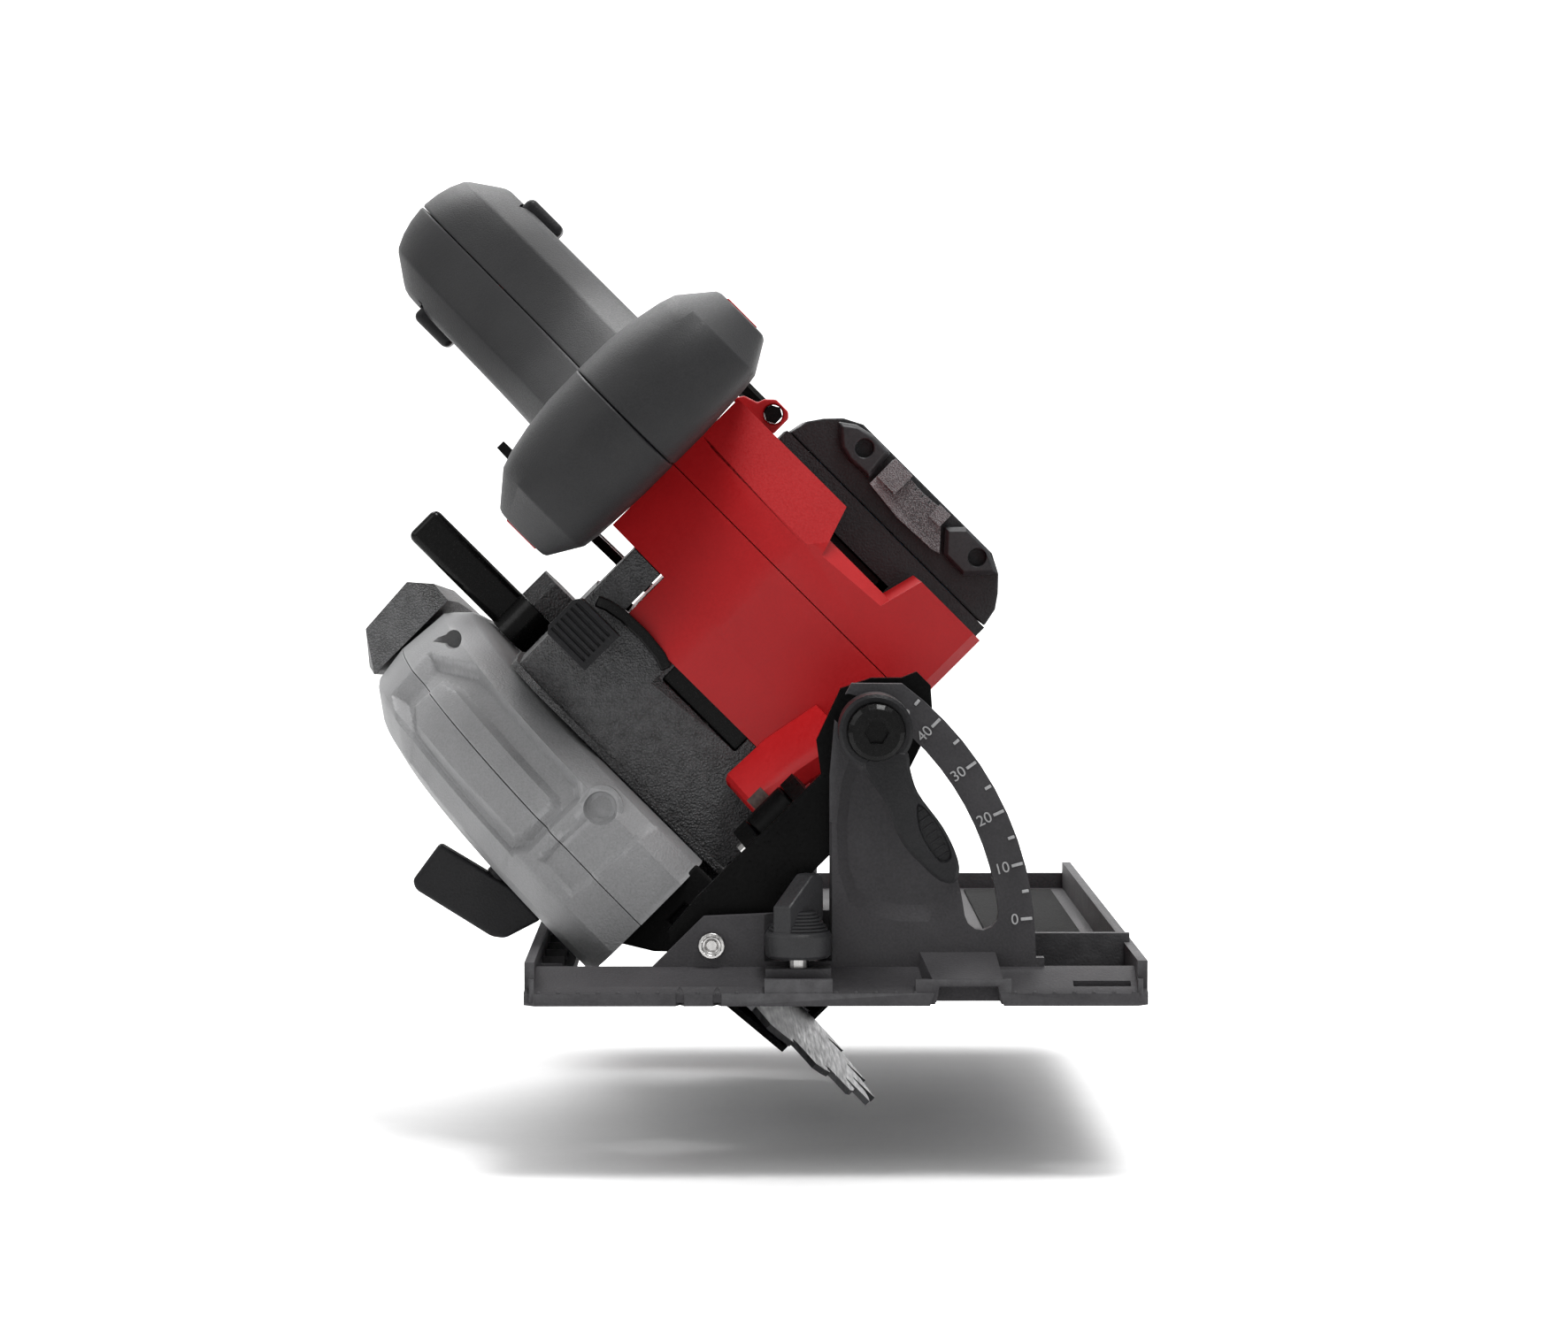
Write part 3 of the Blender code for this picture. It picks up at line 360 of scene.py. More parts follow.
def smooth(outline, steps):
    """A closed curve through every point of an outline, tight where the points are close."""
    result = []
    count = len(outline)
    for i in range(count):
        p0, p1, p2, p3 = (Vector(outline[(i + k) % count]) for k in (-1, 0, 1, 2))
        a, b, c = (math.sqrt((q - p).length) for p, q in ((p0, p1), (p1, p2), (p2, p3)))
        leave = p2 - p1 + b * ((p1 - p0) / a - (p2 - p0) / (a + b))
        reach = p2 - p1 + b * ((p3 - p2) / c - (p3 - p1) / (b + c))
        for s in range(steps):
            t = s / steps
            far = t * t * (3 - 2 * t)
            result.append(tuple(p1 * (1 - far) + p2 * far + leave * t * (1 - t) ** 2
                                - reach * t * t * (1 - t)))
    return result


def shave(bm, place, normal):
    """Slice off whatever lies beyond a plane and close the cut."""
    geometry = bm.verts[:] + bm.edges[:] + bm.faces[:]
    cut = bmesh.ops.bisect_plane(bm, geom=geometry, dist=1e-4, plane_co=place, plane_no=normal,
                                 clear_outer=True)
    edges = [e for e in cut["geom_cut"] if isinstance(e, bmesh.types.BMEdge)]
    bmesh.ops.holes_fill(bm, edges=[e for e in edges if e.is_boundary])
    bmesh.ops.recalc_face_normals(bm, faces=bm.faces)
    return bm


def plane_through(a, b, c):
    """A point and the normal of the plane through three points, facing the front."""
    normal = (Vector(b) - Vector(a)).cross(Vector(c) - Vector(a)).normalized()
    return Vector(a), -normal if normal.y > 0 else normal


# ---------------------------------------------------------------- pieces
def loose(name, bm):
    """A temporary object for one solid."""
    mesh = bpy.data.meshes.new(name)
    bm.to_mesh(mesh)
    bm.free()
    obj = bpy.data.objects.new(name, mesh)
    bpy.context.scene.collection.objects.link(obj)
    return obj


def shaped(bm, joins, cuts):
    """One mesh from a solid, the solids joined to it and the solids taken away."""
    obj = loose("work", bm)
    helpers = []
    for operation, solids in (("UNION", joins), ("DIFFERENCE", cuts)):
        for solid in solids:
            helper = loose("tool", solid)
            step = obj.modifiers.new("step", "BOOLEAN")
            step.operation = operation
            step.solver = "EXACT"
            step.object = helper
            helpers.append(helper)
    graph = bpy.context.evaluated_depsgraph_get()
    mesh = bpy.data.meshes.new_from_object(obj.evaluated_get(graph))
    for thing in [obj] + helpers:
        bpy.data.objects.remove(thing)
    return mesh


def soften(obj, width, segments=2):
    """Round an object's sharp edges and keep its flats flat."""
    bevel = obj.modifiers.new("edges", "BEVEL")
    bevel.width = width
    bevel.segments = segments
    bevel.limit_method = "ANGLE"
    bevel.angle_limit = math.radians(28)
    bevel.use_clamp_overlap = True
    shade = obj.modifiers.new("shade", "WEIGHTED_NORMAL")
    shade.keep_sharp = True


def piece(name, bm, place, slot, body, replaced=(), joins=(), cuts=(), width=0.4, segments=2,
          sharp=50, finish=None):
    """Finish one solid drawn in millimetres and let it ride on its body."""
    mesh = shaped(bm, joins, cuts)
    mesh.name = name
    mesh.transform(place)
    mesh.shade_smooth()
    mesh.set_sharp_from_angle(angle=math.radians(sharp))
    obj = bpy.data.objects.new(name, mesh)
    bpy.context.scene.collection.objects.link(obj)
    mesh.materials.clear()
    mesh.materials.append(MATS[finish or slot])
    soften(obj, width * MM, segments)
    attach(obj, body)
    if replaced:
        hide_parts(*replaced)
    return obj


def cad_solid(node, place):
    """A copy of a CAD node's solid, in millimetres of the shoe's or the saw's frame."""
    bm = bmesh.new()
    bm.from_mesh(frame["nodes"][node].data)
    bmesh.ops.transform(bm, matrix=place.inverted(), verts=bm.verts)
    bmesh.ops.remove_doubles(bm, verts=bm.verts, dist=0.002)
    bmesh.ops.dissolve_limit(bm, angle_limit=math.radians(1), verts=bm.verts, edges=bm.edges)
    return bm


# ---------------------------------------------------------------- handles
ARCH = [(92, 103.5), (150, 103.5), (158, 124), (172, 146), (184, 168), (196, 180), (208, 180),
        (228, 168), (250, 144), (266, 120), (270, 103.5), (300, 103.5), (297, 124), (276, 162),
        (246, 194), (216, 212), (197, 217), (180, 211), (163, 192), (142, 162), (110, 143),
        (92, 136)]
ARCH_CORNERS = (0, 1, 10, 11)
TRIGGER_POCKET = [(170, 172), (184, 170), (196, 183), (238, 174), (240, 183), (214, 199),
                  (196, 201), (184, 197), (170, 184)]


def make_grips():
    """Rear handle: a wide crowned face, a flat along each side and a smooth arch."""
    steps = ((HALF, 0.25), (1.0, 0), (6.0, 0.1), (10.5, 0.3), (14.6, 0.7), (15.8, 1.3),
             (18.6, 3.8), (21.4, 6.6), (22.5, 8.2), (23.0, 10.2))
    for name, sign in (("inner", -1), ("outer", 1)):
        rings = [[(CENTRE_U + sign * off, d, crowned(v, off)) for d, v in arch_curve(amount)]
                 for off, amount in steps]
        reach = [sorted((CENTRE_U - sign * 2, CENTRE_U + sign * k)) for k in (14, 7.5)]
        outward = sorted((CENTRE_U, CENTRE_U + sign * 30))
        cuts = [prism("x", TRIGGER_POCKET, *reach[0]), box(reach[1], (194, 230), (160, 190)),
                box(outward, (175.2, 189.4), (175.4, 194.0))]
        piece(f"handle_{name}", loft(rings), SAW, "soft_grip", "saw", [f"grip_{name}"],
              cuts=cuts, width=0.35, sharp=60)


def crowned(v, off):
    """Let the top of the handle fall away to both sides."""
    return v - 0.014 * off * off * min(1.0, max(0.0, (v - 186) / 26))


def arch_curve(amount):
    """The handle's outline moved inward, smooth but for a clipped corner at each foot."""
    outline = inset(ARCH, amount)
    result = []
    for i, here in enumerate(outline):
        if i in ARCH_CORNERS:
            for other in (outline[i - 1], outline[i + 1]):
                step = (Vector(other) - Vector(here)).normalized()
                result.append(tuple(Vector(here) + step))
        else:
            result.append(here)
    return smooth(result, 5)


def make_lock_off():
    """Lock-off bar through the handle with a rounded pad at each end."""
    bar = [(176.4, 182), (188, 182), (188, 193.2), (176.4, 193.2)]
    pads = []
    for low, high in ((60.6, 67), (107, 113.4)):
        pads.append(rounded_block((low, high), (175.6, 189.0), (178.8, 193.6), 2.2))
    piece("lock_off_pads", prism("x", bar, 66, 108), SAW, "gloss_black", "lock_off",
          ["lock_off_button"], joins=pads, width=0.3, finish="black_moulding")


def rounded_block(x, y, z, radius, segments=5):
    """A block with all its edges rounded."""
    bm = box(x, y, z)
    bmesh.ops.bevel(bm, geom=bm.verts[:] + bm.edges[:], offset=radius, segments=segments,
                    profile=0.5, affect="EDGES", clamp_overlap=True)
    return bm


POMMEL = [(92, 122), (88, 133), (74, 139.6), (52, 141.2), (36, 139.0), (26.5, 133.6),
          (21.6, 127.4), (20.3, 120.0), (22.2, 111.6), (26.4, 106.0), (33, 103.4), (52, 103.2),
          (78, 103.4), (88, 110)]


def make_pommel():
    """Front handle: a nose with a ridge along it, thinning to a flat facet at each end."""
    rows = ((HALF, 103.5, 141.2, 20.3, 90), (1.0, 103.4, 141.2, 20, 90),
            (12, 103.4, 141.0, 20.4, 90), (22, 103.8, 139.8, 21.8, 89.4),
            (30, 104.2, 138.2, 24.4, 87), (34.8, 104.8, 136.6, 27.0, 84),
            (43.9, 110.0, 129.2, 41.6, 75), (44.4, 111.0, 128.0, 43.4, 73.5))
    curve = smooth(POMMEL, 4)
    for name, sign in (("inner", -1), ("outer", 1)):
        rings = [pommel_ring(curve, CENTRE_U + sign * off, *sizes) for off, *sizes in rows]
        piece(f"front_handle_{name}", loft(rings), SAW, "soft_grip", "saw", [f"pommel_{name}"],
              width=0.5, segments=3, sharp=32)
        edge = CENTRE_U + sign * 43.9
        span = sorted((edge, edge + sign * 0.9))
        patch = rounded_block(span, (46, 68), (113.4, 125.2), 0.4, 2)
        piece(f"front_handle_end_{name}", patch, SAW, "red_moulding", "saw", width=0.1)


def pommel_ring(curve, u, low, high, front, back):
    """The front handle's outline, fitted between four limits at one place along it."""
    return [(u, front + (back - front) * (d - 20.3) / 71.7, low + (high - low) * (v - 103.2) / 38)
            for d, v in curve]


# ---------------------------------------------------------------- guards
RECESS = [(-21.5, 114.0), (-27.0, 102), (-26.2, 58), (-20.5, 53.6), (1.0, 53.6), (4.2, 58),
          (4.4, 102), (-5.0, 115.0)]
PAD = [(-18.4, 109.5), (-22.6, 103.5), (-21.8, 60), (-18.4, 57.2), (-6.0, 57.2), (-3.6, 60),
       (-3.8, 102.5), (-6.5, 109.0)]
BAY = [(-20.4, 50.4), (-20.8, 36.2), (9.0, 33.8), (9.5, 50.4)]


def depth_inside(outline, a, b):
    """How far a point lies inside a convex outline, negative outside."""
    best = 1e9
    count = len(outline)
    for i in range(count):
        (a0, b0), (a1, b1) = outline[i], outline[(i + 1) % count]
        length = math.hypot(a1 - a0, b1 - b0)
        side = ((a1 - a0) * (b - b0) - (b1 - b0) * (a - a0)) / length
        best = min(best, side)
    return best


def step_down(outline, a, b, slope):
    """0 outside an outline, 1 inside it, with a straight slope just inside its edge."""
    return min(1.0, max(0.0, depth_inside(outline, a, b) / slope))


def guard_relief(u, v):
    """How deep the panels of the guard's rim are pressed in at a place."""
    deep = 3.6 * step_down(RECESS, u, v, 2.6) - 2.4 * step_down(PAD, u, v, 1.8)
    return deep + 1.6 * step_down(BAY, u, v, 1.5)


def guard_wall(side):
    """Outer face of one guard shell, from its open edge to the seam, as u and radius."""
    if side == "outer":
        points = [(-33.5, 27), (-33.5, 60), (-33.5, 86.5), (-33.2, 88.4), (-31.2, 96.2),
                  (-30.4, 98.0), (-25.0, 105.4), (-23.6, 106.4)]
        seam = [(SEAM_U - HALF - 11.2 + 0.7 * i, 106.6 + 0.09 * i) for i in range(17)]
        return points + seam
    seam = [(SEAM_U + HALF + 0.7 * i, 108.0 - 0.06 * i) for i in range(24)]
    return seam + [(4.6, 106.2), (6.0, 105.2), (10.2, 101.0), (10.9, 99.6), (12.0, 96), (12.0, 60),
                   (12.0, 42)]


def guard_stations():
    """Angles about the arbor at which the guard's section is drawn, fine at the front."""
    fine = [178.6 - 0.55 * i for i in range(126)]
    coarse = [109.3 - 3.0 * i for i in range(36)]
    return fine + coarse + [1.4]


def make_guard(side):
    """One upper guard shell with its pressed panels, on the front side of the arc only."""
    wall = guard_wall(side)
    if side == "outer":
        inner = [(SEAM_U - HALF, 102), (-22.6, 101.4), (-27.4, 94), (-29.6, 86.6), (-30.5, 27)]
        section = wall + inner
    else:
        inner = [(9, 42), (9, 94.2), (7.4, 97.2), (2.6, 101), (SEAM_U + HALF, 102)]
        section = wall + inner
    rings = []
    for angle in guard_stations():
        t = math.radians(angle)
        ring = []
        for i, (u, r) in enumerate(section):
            if i < len(wall) and r > 95:
                r -= guard_relief(u, ARBOR[1] + r * math.sin(t)) if angle > 90 else 0.0
            ring.append((u, *circle(ARBOR, r, t)))
        rings.append(ring)
    return loft(rings)


def make_guards():
    """Both shells of the upper guard, their screw pockets, and the swinging guard's lever."""
    track = slot_outline(ARBOR, 80.5, 5.6, LEVER_ANGLE - 121, LEVER_ANGLE + 2)
    rim = [prism("x", track, -40, -28)]
    piece("guard_shell_outer", make_guard("outer"), SAW, "guard_grey", "saw",
          ["upper_guard_outer"], cuts=rim, width=0.25, sharp=24)
    pocket = turned("y", [(30, 5.4), (44.8, 5.0), (46.9, 4.2), (47.5, 3.2)], (3.2, 48.2))
    boss = turned("y", [(45.6, 6.4), (50, 6.4)], (3.2, 48.2))
    tear = teardrop((1.6, 114.2), 90, 114)
    piece("guard_shell_inner", make_guard("inner"), SAW, "guard_grey", "saw",
          ["upper_guard_inner"], joins=[boss], cuts=[pocket, tear], width=0.25, sharp=24)
    stem = turned("x", [(-35.5, 3.0), (-35.0, 3.6), (-24.3, 3.6)],
                  circle(ARBOR, 80.5, math.radians(LEVER_ANGLE)), 24)
    d = ARBOR[0] + 80.5 * math.cos(math.radians(LEVER_ANGLE))
    paddle = [(-34.2, 36.4), (-33.6, 49.7), (-39.4, 73.1), (-52.5, 71.1), (-53.9, 68.6),
              (-48.0, 43.1), (-45.6, 40.0)]
    blade = prism("y", paddle, d - 4, d + 4)
    bmesh.ops.bevel(blade, geom=blade.edges[:], offset=1.2, segments=4, profile=0.5,
                    affect="EDGES", clamp_overlap=True)
    piece("guard_thumb_lever", stem, SAW, "black_moulding", "lower_guard",
          ["lower_guard_lever"], joins=[blade], width=0.1)


def teardrop(centre, low, high):
    """A pointed screw pocket cut from the front."""
    u, v = centre
    outline = arc((u + 1.6, v - 1.6), 2.7, -135 - 60, 45 + 60, 16)
    outline.append((u - 4.6, v + 3.4))
    return prism("y", outline, low, high)


def make_chute():
    """Dust chute behind the guard's crest, with a lip round its mouth."""
    mouth = rounded_block((-17, 3), (199, 214), (113, 121), 2.0)
    piece("chute_body", cad_solid("dust_chute", SAW), SAW, "casting_dark", "saw", ["dust_chute"],
          cuts=[mouth], width=1.2, segments=3, sharp=40)


# ---------------------------------------------------------------- gear case
GEAR_CASE = ([(60.3, 12), (64, 10), (118, 10)] + arc(ARBOR, 24.6, 205, 345, 24)
             + [(174.6, 16), (174.6, 68), (168, 84), (150, 91.6), (110, 94.6), (68, 93.6),
                (60.3, 84)])


def face_case(bm):
    """Crease the front of the gear case at mid height."""
    shave(bm, (0, 60.3, 64.5), (0, -19.5, 4.6))
    shave(bm, (0, 60.3, 64.5), (0, -52.0, -4.4))
    return bm


def make_gear_case():
    """Gear case with a creased front, a vent slot with a black sheet of painted shade behind it, and a
    step beside it.
    """
    hollow = [(max(d, 66.5), v) for d, v in inset(GEAR_CASE, 3.2)]
    lobe = face_case(prism("x", [(60.3, 83), (100, 83), (100, 94), (68, 93.6), (60.3, 88)], 44,
                           61.7))
    lug = arc((38, 8), 9, 70, 270, 20) + [(66, 1), (66, 11.4), (46, 11.4)]
    joins = [lobe, rod("x", ARBOR, 18, 2.0, 14, 40)]
    slot_cut = rounded_block((40.6, 52), (55, 69.2), (31.4, 61.4), 0.8, 2)
    step_cut = prism("z", [(37.2, 58), (38.0, 60.6), (40.6, 62.8), (50, 62.8), (50, 58)],
                     29.8, 62.8)
    cuts = [prism("x", hollow, 15.5, 50), rod("x", ARBOR, 12.3, -2, 13.5, 40),
            rod("x", ARBOR, 8.8, 0, 20, 40), rod("y", (34.5, 87), 3.4, 50, 75, 20), step_cut, slot_cut]
    piece("gear_case_shell", face_case(prism("x", GEAR_CASE, 12.3, 46)), SAW, "casting_dark",
          "saw", ["gear_case"], joins=joins, cuts=cuts, width=0.8, segments=3, sharp=40)
    piece("gear_case_flange", prism("x", inset(GEAR_CASE, -1.4), 12.4, 14.6),
          SAW, "casting_dark", "saw", cuts=[prism("x", inset(GEAR_CASE, 3), 10, 20)], width=0.3)
    piece("depth_pivot_lug", prism("x", lug, 30.6, 43.9), SAW, "casting_dark", "saw",
          cuts=[rod("x", (38, 8), 3.9, 25, 50, 20)], width=0.8, segments=3, finish="black_steel")
    # Painted shade: a black sheet behind the vent slot stands in for the shaded inside of the case.
    dark = rounded_block((40.8, 47.4), (67.6, 69.0), (31.4, 61.4), 0.4, 2)
    piece("gear_case_painted_vent_shade", dark, SAW, "black_moulding", "saw", width=0.1,
          finish="gloss_black")


def make_lock_strap():
    """Black strap that curves down behind the spindle lock button."""
    path = [(43.6, 90.8), (45.0, 87.4), (46.0, 82.0), (46.2, 74.0), (45.4, 66.5), (44.0, 62.6)]
    rings = []
    for i, (u, v) in enumerate(path):
        before = Vector(path[max(i - 1, 0)])
        after = Vector(path[min(i + 1, len(path) - 1)])
        across = (after - before).normalized()
        off = Vector((across.y, -across.x)) * 1.7
        d = 57.0 + 0.6 * min(i, 1)
        rings.append([(u - off.x, d, v - off.y), (u + off.x, d, v + off.y),
                      (u + off.x, d + 6, v + off.y), (u - off.x, d + 6, v - off.y)])
    piece("spindle_lock_strap", loft(rings), SAW, "black_moulding", "saw", width=0.6, segments=3,
          finish="gloss_black")


def make_lock_button():
    """Spindle lock button: a domed pad with fine upright ribs, on its pin."""
    body = [(27.5, 79), (41.6, 79), (41.6, 94), (39.6, 95.6), (29.5, 95.6), (27.5, 94)]
    pin = rod("y", (34.5, 87), 3.0, 50, 65, 20)
    ribs = []
    for i in range(6):
        u = 29.2 + 2.0 * i
        ribs.append(box((u, u + 0.9), (46, 49.0), (81, 94.4)))
    piece("spindle_lock_pad", prism("y", body, 48, 56.5), SAW, "black_moulding", "spindle_lock",
          ["spindle_lock_button"], joins=[pin], cuts=ribs, width=0.7, segments=3)


# ---------------------------------------------------------------- housing
HOUSE = [(58.3, 12), (66, 4), (228, 5), (240, 20), (246, 50), (270, 62), (296, 72), (304, 92),
         (300, 103), (66, 103), (58.3, 96)]
HOUSE_HOLLOW = [(73, 8), (226, 8), (237, 21), (243, 52), (268, 65), (293, 74.5), (300, 92),
                (297.5, 100), (73, 100)]


def face_housing(bm):
    """Slope the front away above and below the crease of the motor barrel."""
    shave(bm, (0, 58.3, 66), (0, -18, 6.2))
    shave(bm, (0, 58.3, 60), (0, -48, -4.4))
    return bm


def make_housing_inner():
    """Red shell on the gear side: barrel, depth clamp boss and the lobe for the light."""
    bm = face_housing(prism("x", HOUSE, 62, CENTRE_U - HALF))
    drum = [(58.3, 8), (61, 6), (174, 6), (174, 81.6), (58.3, 81.6)]
    nose = [(60.6, 28.6), (50.4, 19.8), (48.8, 16.4), (49.4, 12), (62, 12), (62, 28.6)]
    lobe = loft([[(u, d, v + drop) for d, v in inset(nose, shrink)]
                 for u, shrink, drop in ((32.6, 2.0, 0), (33.4, 0.7, 0), (34.8, 0, 0),
                                         (50, 0, -0.6), (67, 0, -4.0))])
    joins = [face_housing(prism("x", drum, 46.3, 64)), lobe, rod("x", DEPTH_CLAMP, 9, 53.4, 64, 32)]
    window = turned("y", [(40, 2.0), (60, 2.6)], (36.8, 16.6))
    cuts = [box((49.4, 70), (73, 171), (9, 78.6)), prism("x", HOUSE_HOLLOW, 65, CENTRE_U + 5),
            rod("x", DEPTH_CLAMP, 4.2, 45, 61, 24), rod("x", MOTOR, 12, 44, 55, 32), window]
    piece("housing_shell_inner", bm, SAW, "red_moulding", "saw", ["housing_inner"], joins=joins,
          cuts=cuts + vents(62.4, 0), width=0.7, segments=3, sharp=40)


def make_housing_outer():
    """Red shell on the battery side, with the stepped notch that clears the pack."""
    bm = face_housing(prism("x", HOUSE, CENTRE_U + HALF, 99.2))
    front = [(58.3, 12), (66, 4), (127.6, 4.4), (127.6, 103), (66, 103), (58.3, 96)]
    arm = face_housing(prism("x", front, 98, 113.7))
    crest = plane_through((92.9, 58.6, 65.5), (93.3, 63.4, 82.0), (111.5, 62.0, 58.1))
    for part in (bm, arm):
        shave(part, *crest)
    shave(arm, (113.5, 60, 70), (1, -0.5, 0))
    hollow = prism("x", HOUSE_HOLLOW, CENTRE_U - 5, 96.2)
    floor = [(98.4, 54), (98.4, 58.5), (103.4, 64.5), (103.4, 140), (120, 140), (120, 54)]
    ramp_cut = loft([[(u, d, v + (u - 103) * slope) for u, d in floor]
                     for v, slope in ((31.0, -0.26), (55.4, 0.32))])
    piece("housing_shell_outer", bm, SAW, "red_moulding", "saw", ["housing_outer"], joins=[arm],
          cuts=[hollow, ramp_cut] + vents(97.0, 1), width=0.8, segments=3, sharp=40)


def vents(u, side):
    """Slots for cooling air in the motor barrel's side."""
    slots = []
    for i in range(7):
        d = 196 + 5.2 * i
        reach = (u + 0.8, u + 6) if side else (u - 6, u + 0.8)
        slots.append(box(reach, (d, d + 2.2), (52 if side else 30, 66 if side else 52)))
    return slots


# ---------------------------------------------------------------- battery
def make_battery():
    """Pack seen from its front end: rail base, cover with two corner caps, raised panel."""
    rings = []
    for u, cut in ((118.1, 0), (124, 1.2), (128, 4.0), (132.4, 8.2), (135.4, 14)):
        rings.append([(u, 131.5, 1.9 + cut), (u, 250 - cut, 1.9 + cut), (u, 250 - cut, 85 - cut),
                      (u, 131.5, 85 - cut)])
    inside = box((115, 130), (135, 244), (9, 78))
    piece("battery_shell", loft(rings), SAW, "battery_black", "battery", ["battery_cover"],
          cuts=[inside] + battery_grooves(), width=0.7, segments=3, sharp=40)
    make_cap("upper", [(130.6, 77.0), (125.8, 71.6), (124.4, 66.5), (125.0, 58.2), (134.9, 59.2),
                       (135.3, 66.0), (133.8, 72.6)], (130.4, 65.8))
    make_cap("lower", [(132.2, 10.2), (135.3, 17.6), (135.3, 27.2), (130.8, 31.8), (124.5, 26.0),
                       (124.3, 17.5)], (131.2, 18.4))
    panel = [(124.0, 57.2), (122.6, 44), (123.2, 30), (124.0, 27.2), (130.6, 33.2), (134.2, 33.4),
             (133.4, 44), (134.2, 57.2)]
    block = box((127.0, 134.9), (126.4, 131), (49.6, 57.0))
    small = box((129.6, 134.6), (127.2, 131), (33.0, 37.6))
    groove = [box((132.2, 140), (124, 129.6), (v, v + 0.5)) for v in (40.2, 43.0, 45.8)]
    piece("battery_panel", prism("y", panel, 127.9, 132.4), SAW, "battery_black", "battery",
          joins=[block, small], cuts=groove, width=0.6, segments=3, finish="panel_grey")


def battery_grooves():
    """Grip grooves across the pack's long outer face."""
    return [box((134.4, 140), (150 + 9 * i, 153 + 9 * i), (10, 78)) for i in range(9)]


def make_cap(name, outline, hole):
    """One raised corner of the pack's front end, sloping at its edge, with its screw hole."""
    cap = loft([[(u, 132.6, v) for u, v in outline], [(u, 128.6, v) for u, v in outline],
                [(u, 127.2, v) for u, v in grow(outline, 0.82)]])
    bore = turned("y", [(120, 3.0), (128.4, 2.8), (132, 2.6)], hole, 28)
    piece(f"battery_cap_{name}", cap, SAW, "battery_black", "battery", cuts=[bore], width=0.4,
          segments=3, finish="cap_black")


def grow(outline, factor):
    """Scale an outline about its middle."""
    middle = sum((Vector(p) for p in outline), Vector((0, 0))) / len(outline)
    return [tuple(middle + (Vector(p) - middle) * factor) for p in outline]


# ---------------------------------------------------------------- shoe and bevel scale
def make_shoe():
    """The shoe: sloping front ledge, arched sight, dished quadrant, rib rows and edge dots."""
    pocket = [(4.5, 66.7), (4.5, 28.3), (31.0, 24.6), (34.4, 34.0), (15.5, 62.5), (9.5, 66.7)]
    hollow = loft([[(x, 13.6, z) for x, z in grow(smooth(pocket, 4), 1.08)],
                   [(x, 16.4, z) for x, z in grow(smooth(pocket, 4), 0.86)]])
    ledge = [(0.25, 1.0), (0.25, 3.2), (1.2, 4.2), (11.5, 8.6), (14.6, 9.6), (14.6, 1.0)]
    arch = loft([[(x, 0.3, z) for x, z in ((24.6, 1), (26.6, 7.5), (46.2, 7.5), (48.4, 1))],
                 [(x, 14.2, z) for x, z in ((22.4, 1), (23.6, 13.6), (44.8, 13.6), (47.0, 1))]])
    joins = [prism("x", ledge, -86.2, 86.2), arch]
    joins += [box((-84, -77.5), (d, d + 1.2), (2, 7.2)) for d in range(24, 290, 19)]
    joins += [box((55, 80), (d, d + 1.2), (2, 7.2)) for d in range(66, 120, 12)]
    above = [(-2, 3.5), (0.4, 3.5), (1.3, 4.4), (11.5, 8.8), (12.6, 9.2), (12.6, 20), (-2, 20)]
    cuts = [hollow, prism("y", [(27.4, -1), (28.6, 5.4), (44.8, 5.4), (46.2, -1)], -2, 12)]
    cuts += [prism("x", above, low, high) for low, high in ((-83.7, -19.9), (-1.0, 22.0),
                                                            (48.6, 83.7))]
    cuts.append(box((66, 82), (3.2, 6.2), (2.4, 9)))
    piece("shoe_casting", cad_solid("shoe", SHOE), SHOE, "casting_grey", "base", ["shoe"],
          joins=joins, cuts=cuts, width=0.45, segments=2, sharp=40)
    panel = box((49.5, 79), (64, 300), (3.0, 4.4))
    piece("shoe_panel", panel, SHOE, "black_moulding", "base", width=0.3, finish="flat_black")
    make_edge_dots()
    make_scale()


def make_edge_dots():
    """A row of small raised dots along the shoe's front lip."""
    bm = bmesh.new()
    for i in range(31):
        x = -82.5 + 5.5 * i
        if 23 < x < 49:
            continue
        spot = Matrix.Translation((x, 0.5, 3.6)) @ Matrix.Diagonal((1, 0.6, 1, 1))
        bmesh.ops.create_icosphere(bm, subdivisions=2, radius=0.62, matrix=spot)
    piece("shoe_edge_dots", bm, SHOE, "casting_grey", "base", width=0.01)


def on_arc(radius, degrees):
    """A point of the bevel scale, as X and Z, from its radius and its reading."""
    return circle(BEVEL_PIVOT, radius, math.radians(4.86 + degrees))


def make_scale():
    """Raised ticks every five degrees and the numbers at every ten."""
    bm = bmesh.new()
    for reading in range(0, 50, 5):
        length = 3.2 if reading % 10 == 0 else 1.9
        t = math.radians(4.86 + reading)
        x, z = on_arc(90.0 - length / 2, reading)
        turn = Matrix.Translation((x, 14.0, z)) @ Matrix.Rotation(-t, 4, "Y")
        size = Matrix.Diagonal((length, 0.7, 0.85, 1))
        bmesh.ops.create_cube(bm, size=1.0, matrix=turn @ size)
    piece("bevel_scale_ticks", bm, SHOE, "guard_metal", "base", width=0.12, finish="scale_grey")
    for reading in range(0, 50, 10):
        make_number(str(reading), reading)
    make_number("45", 45.6)


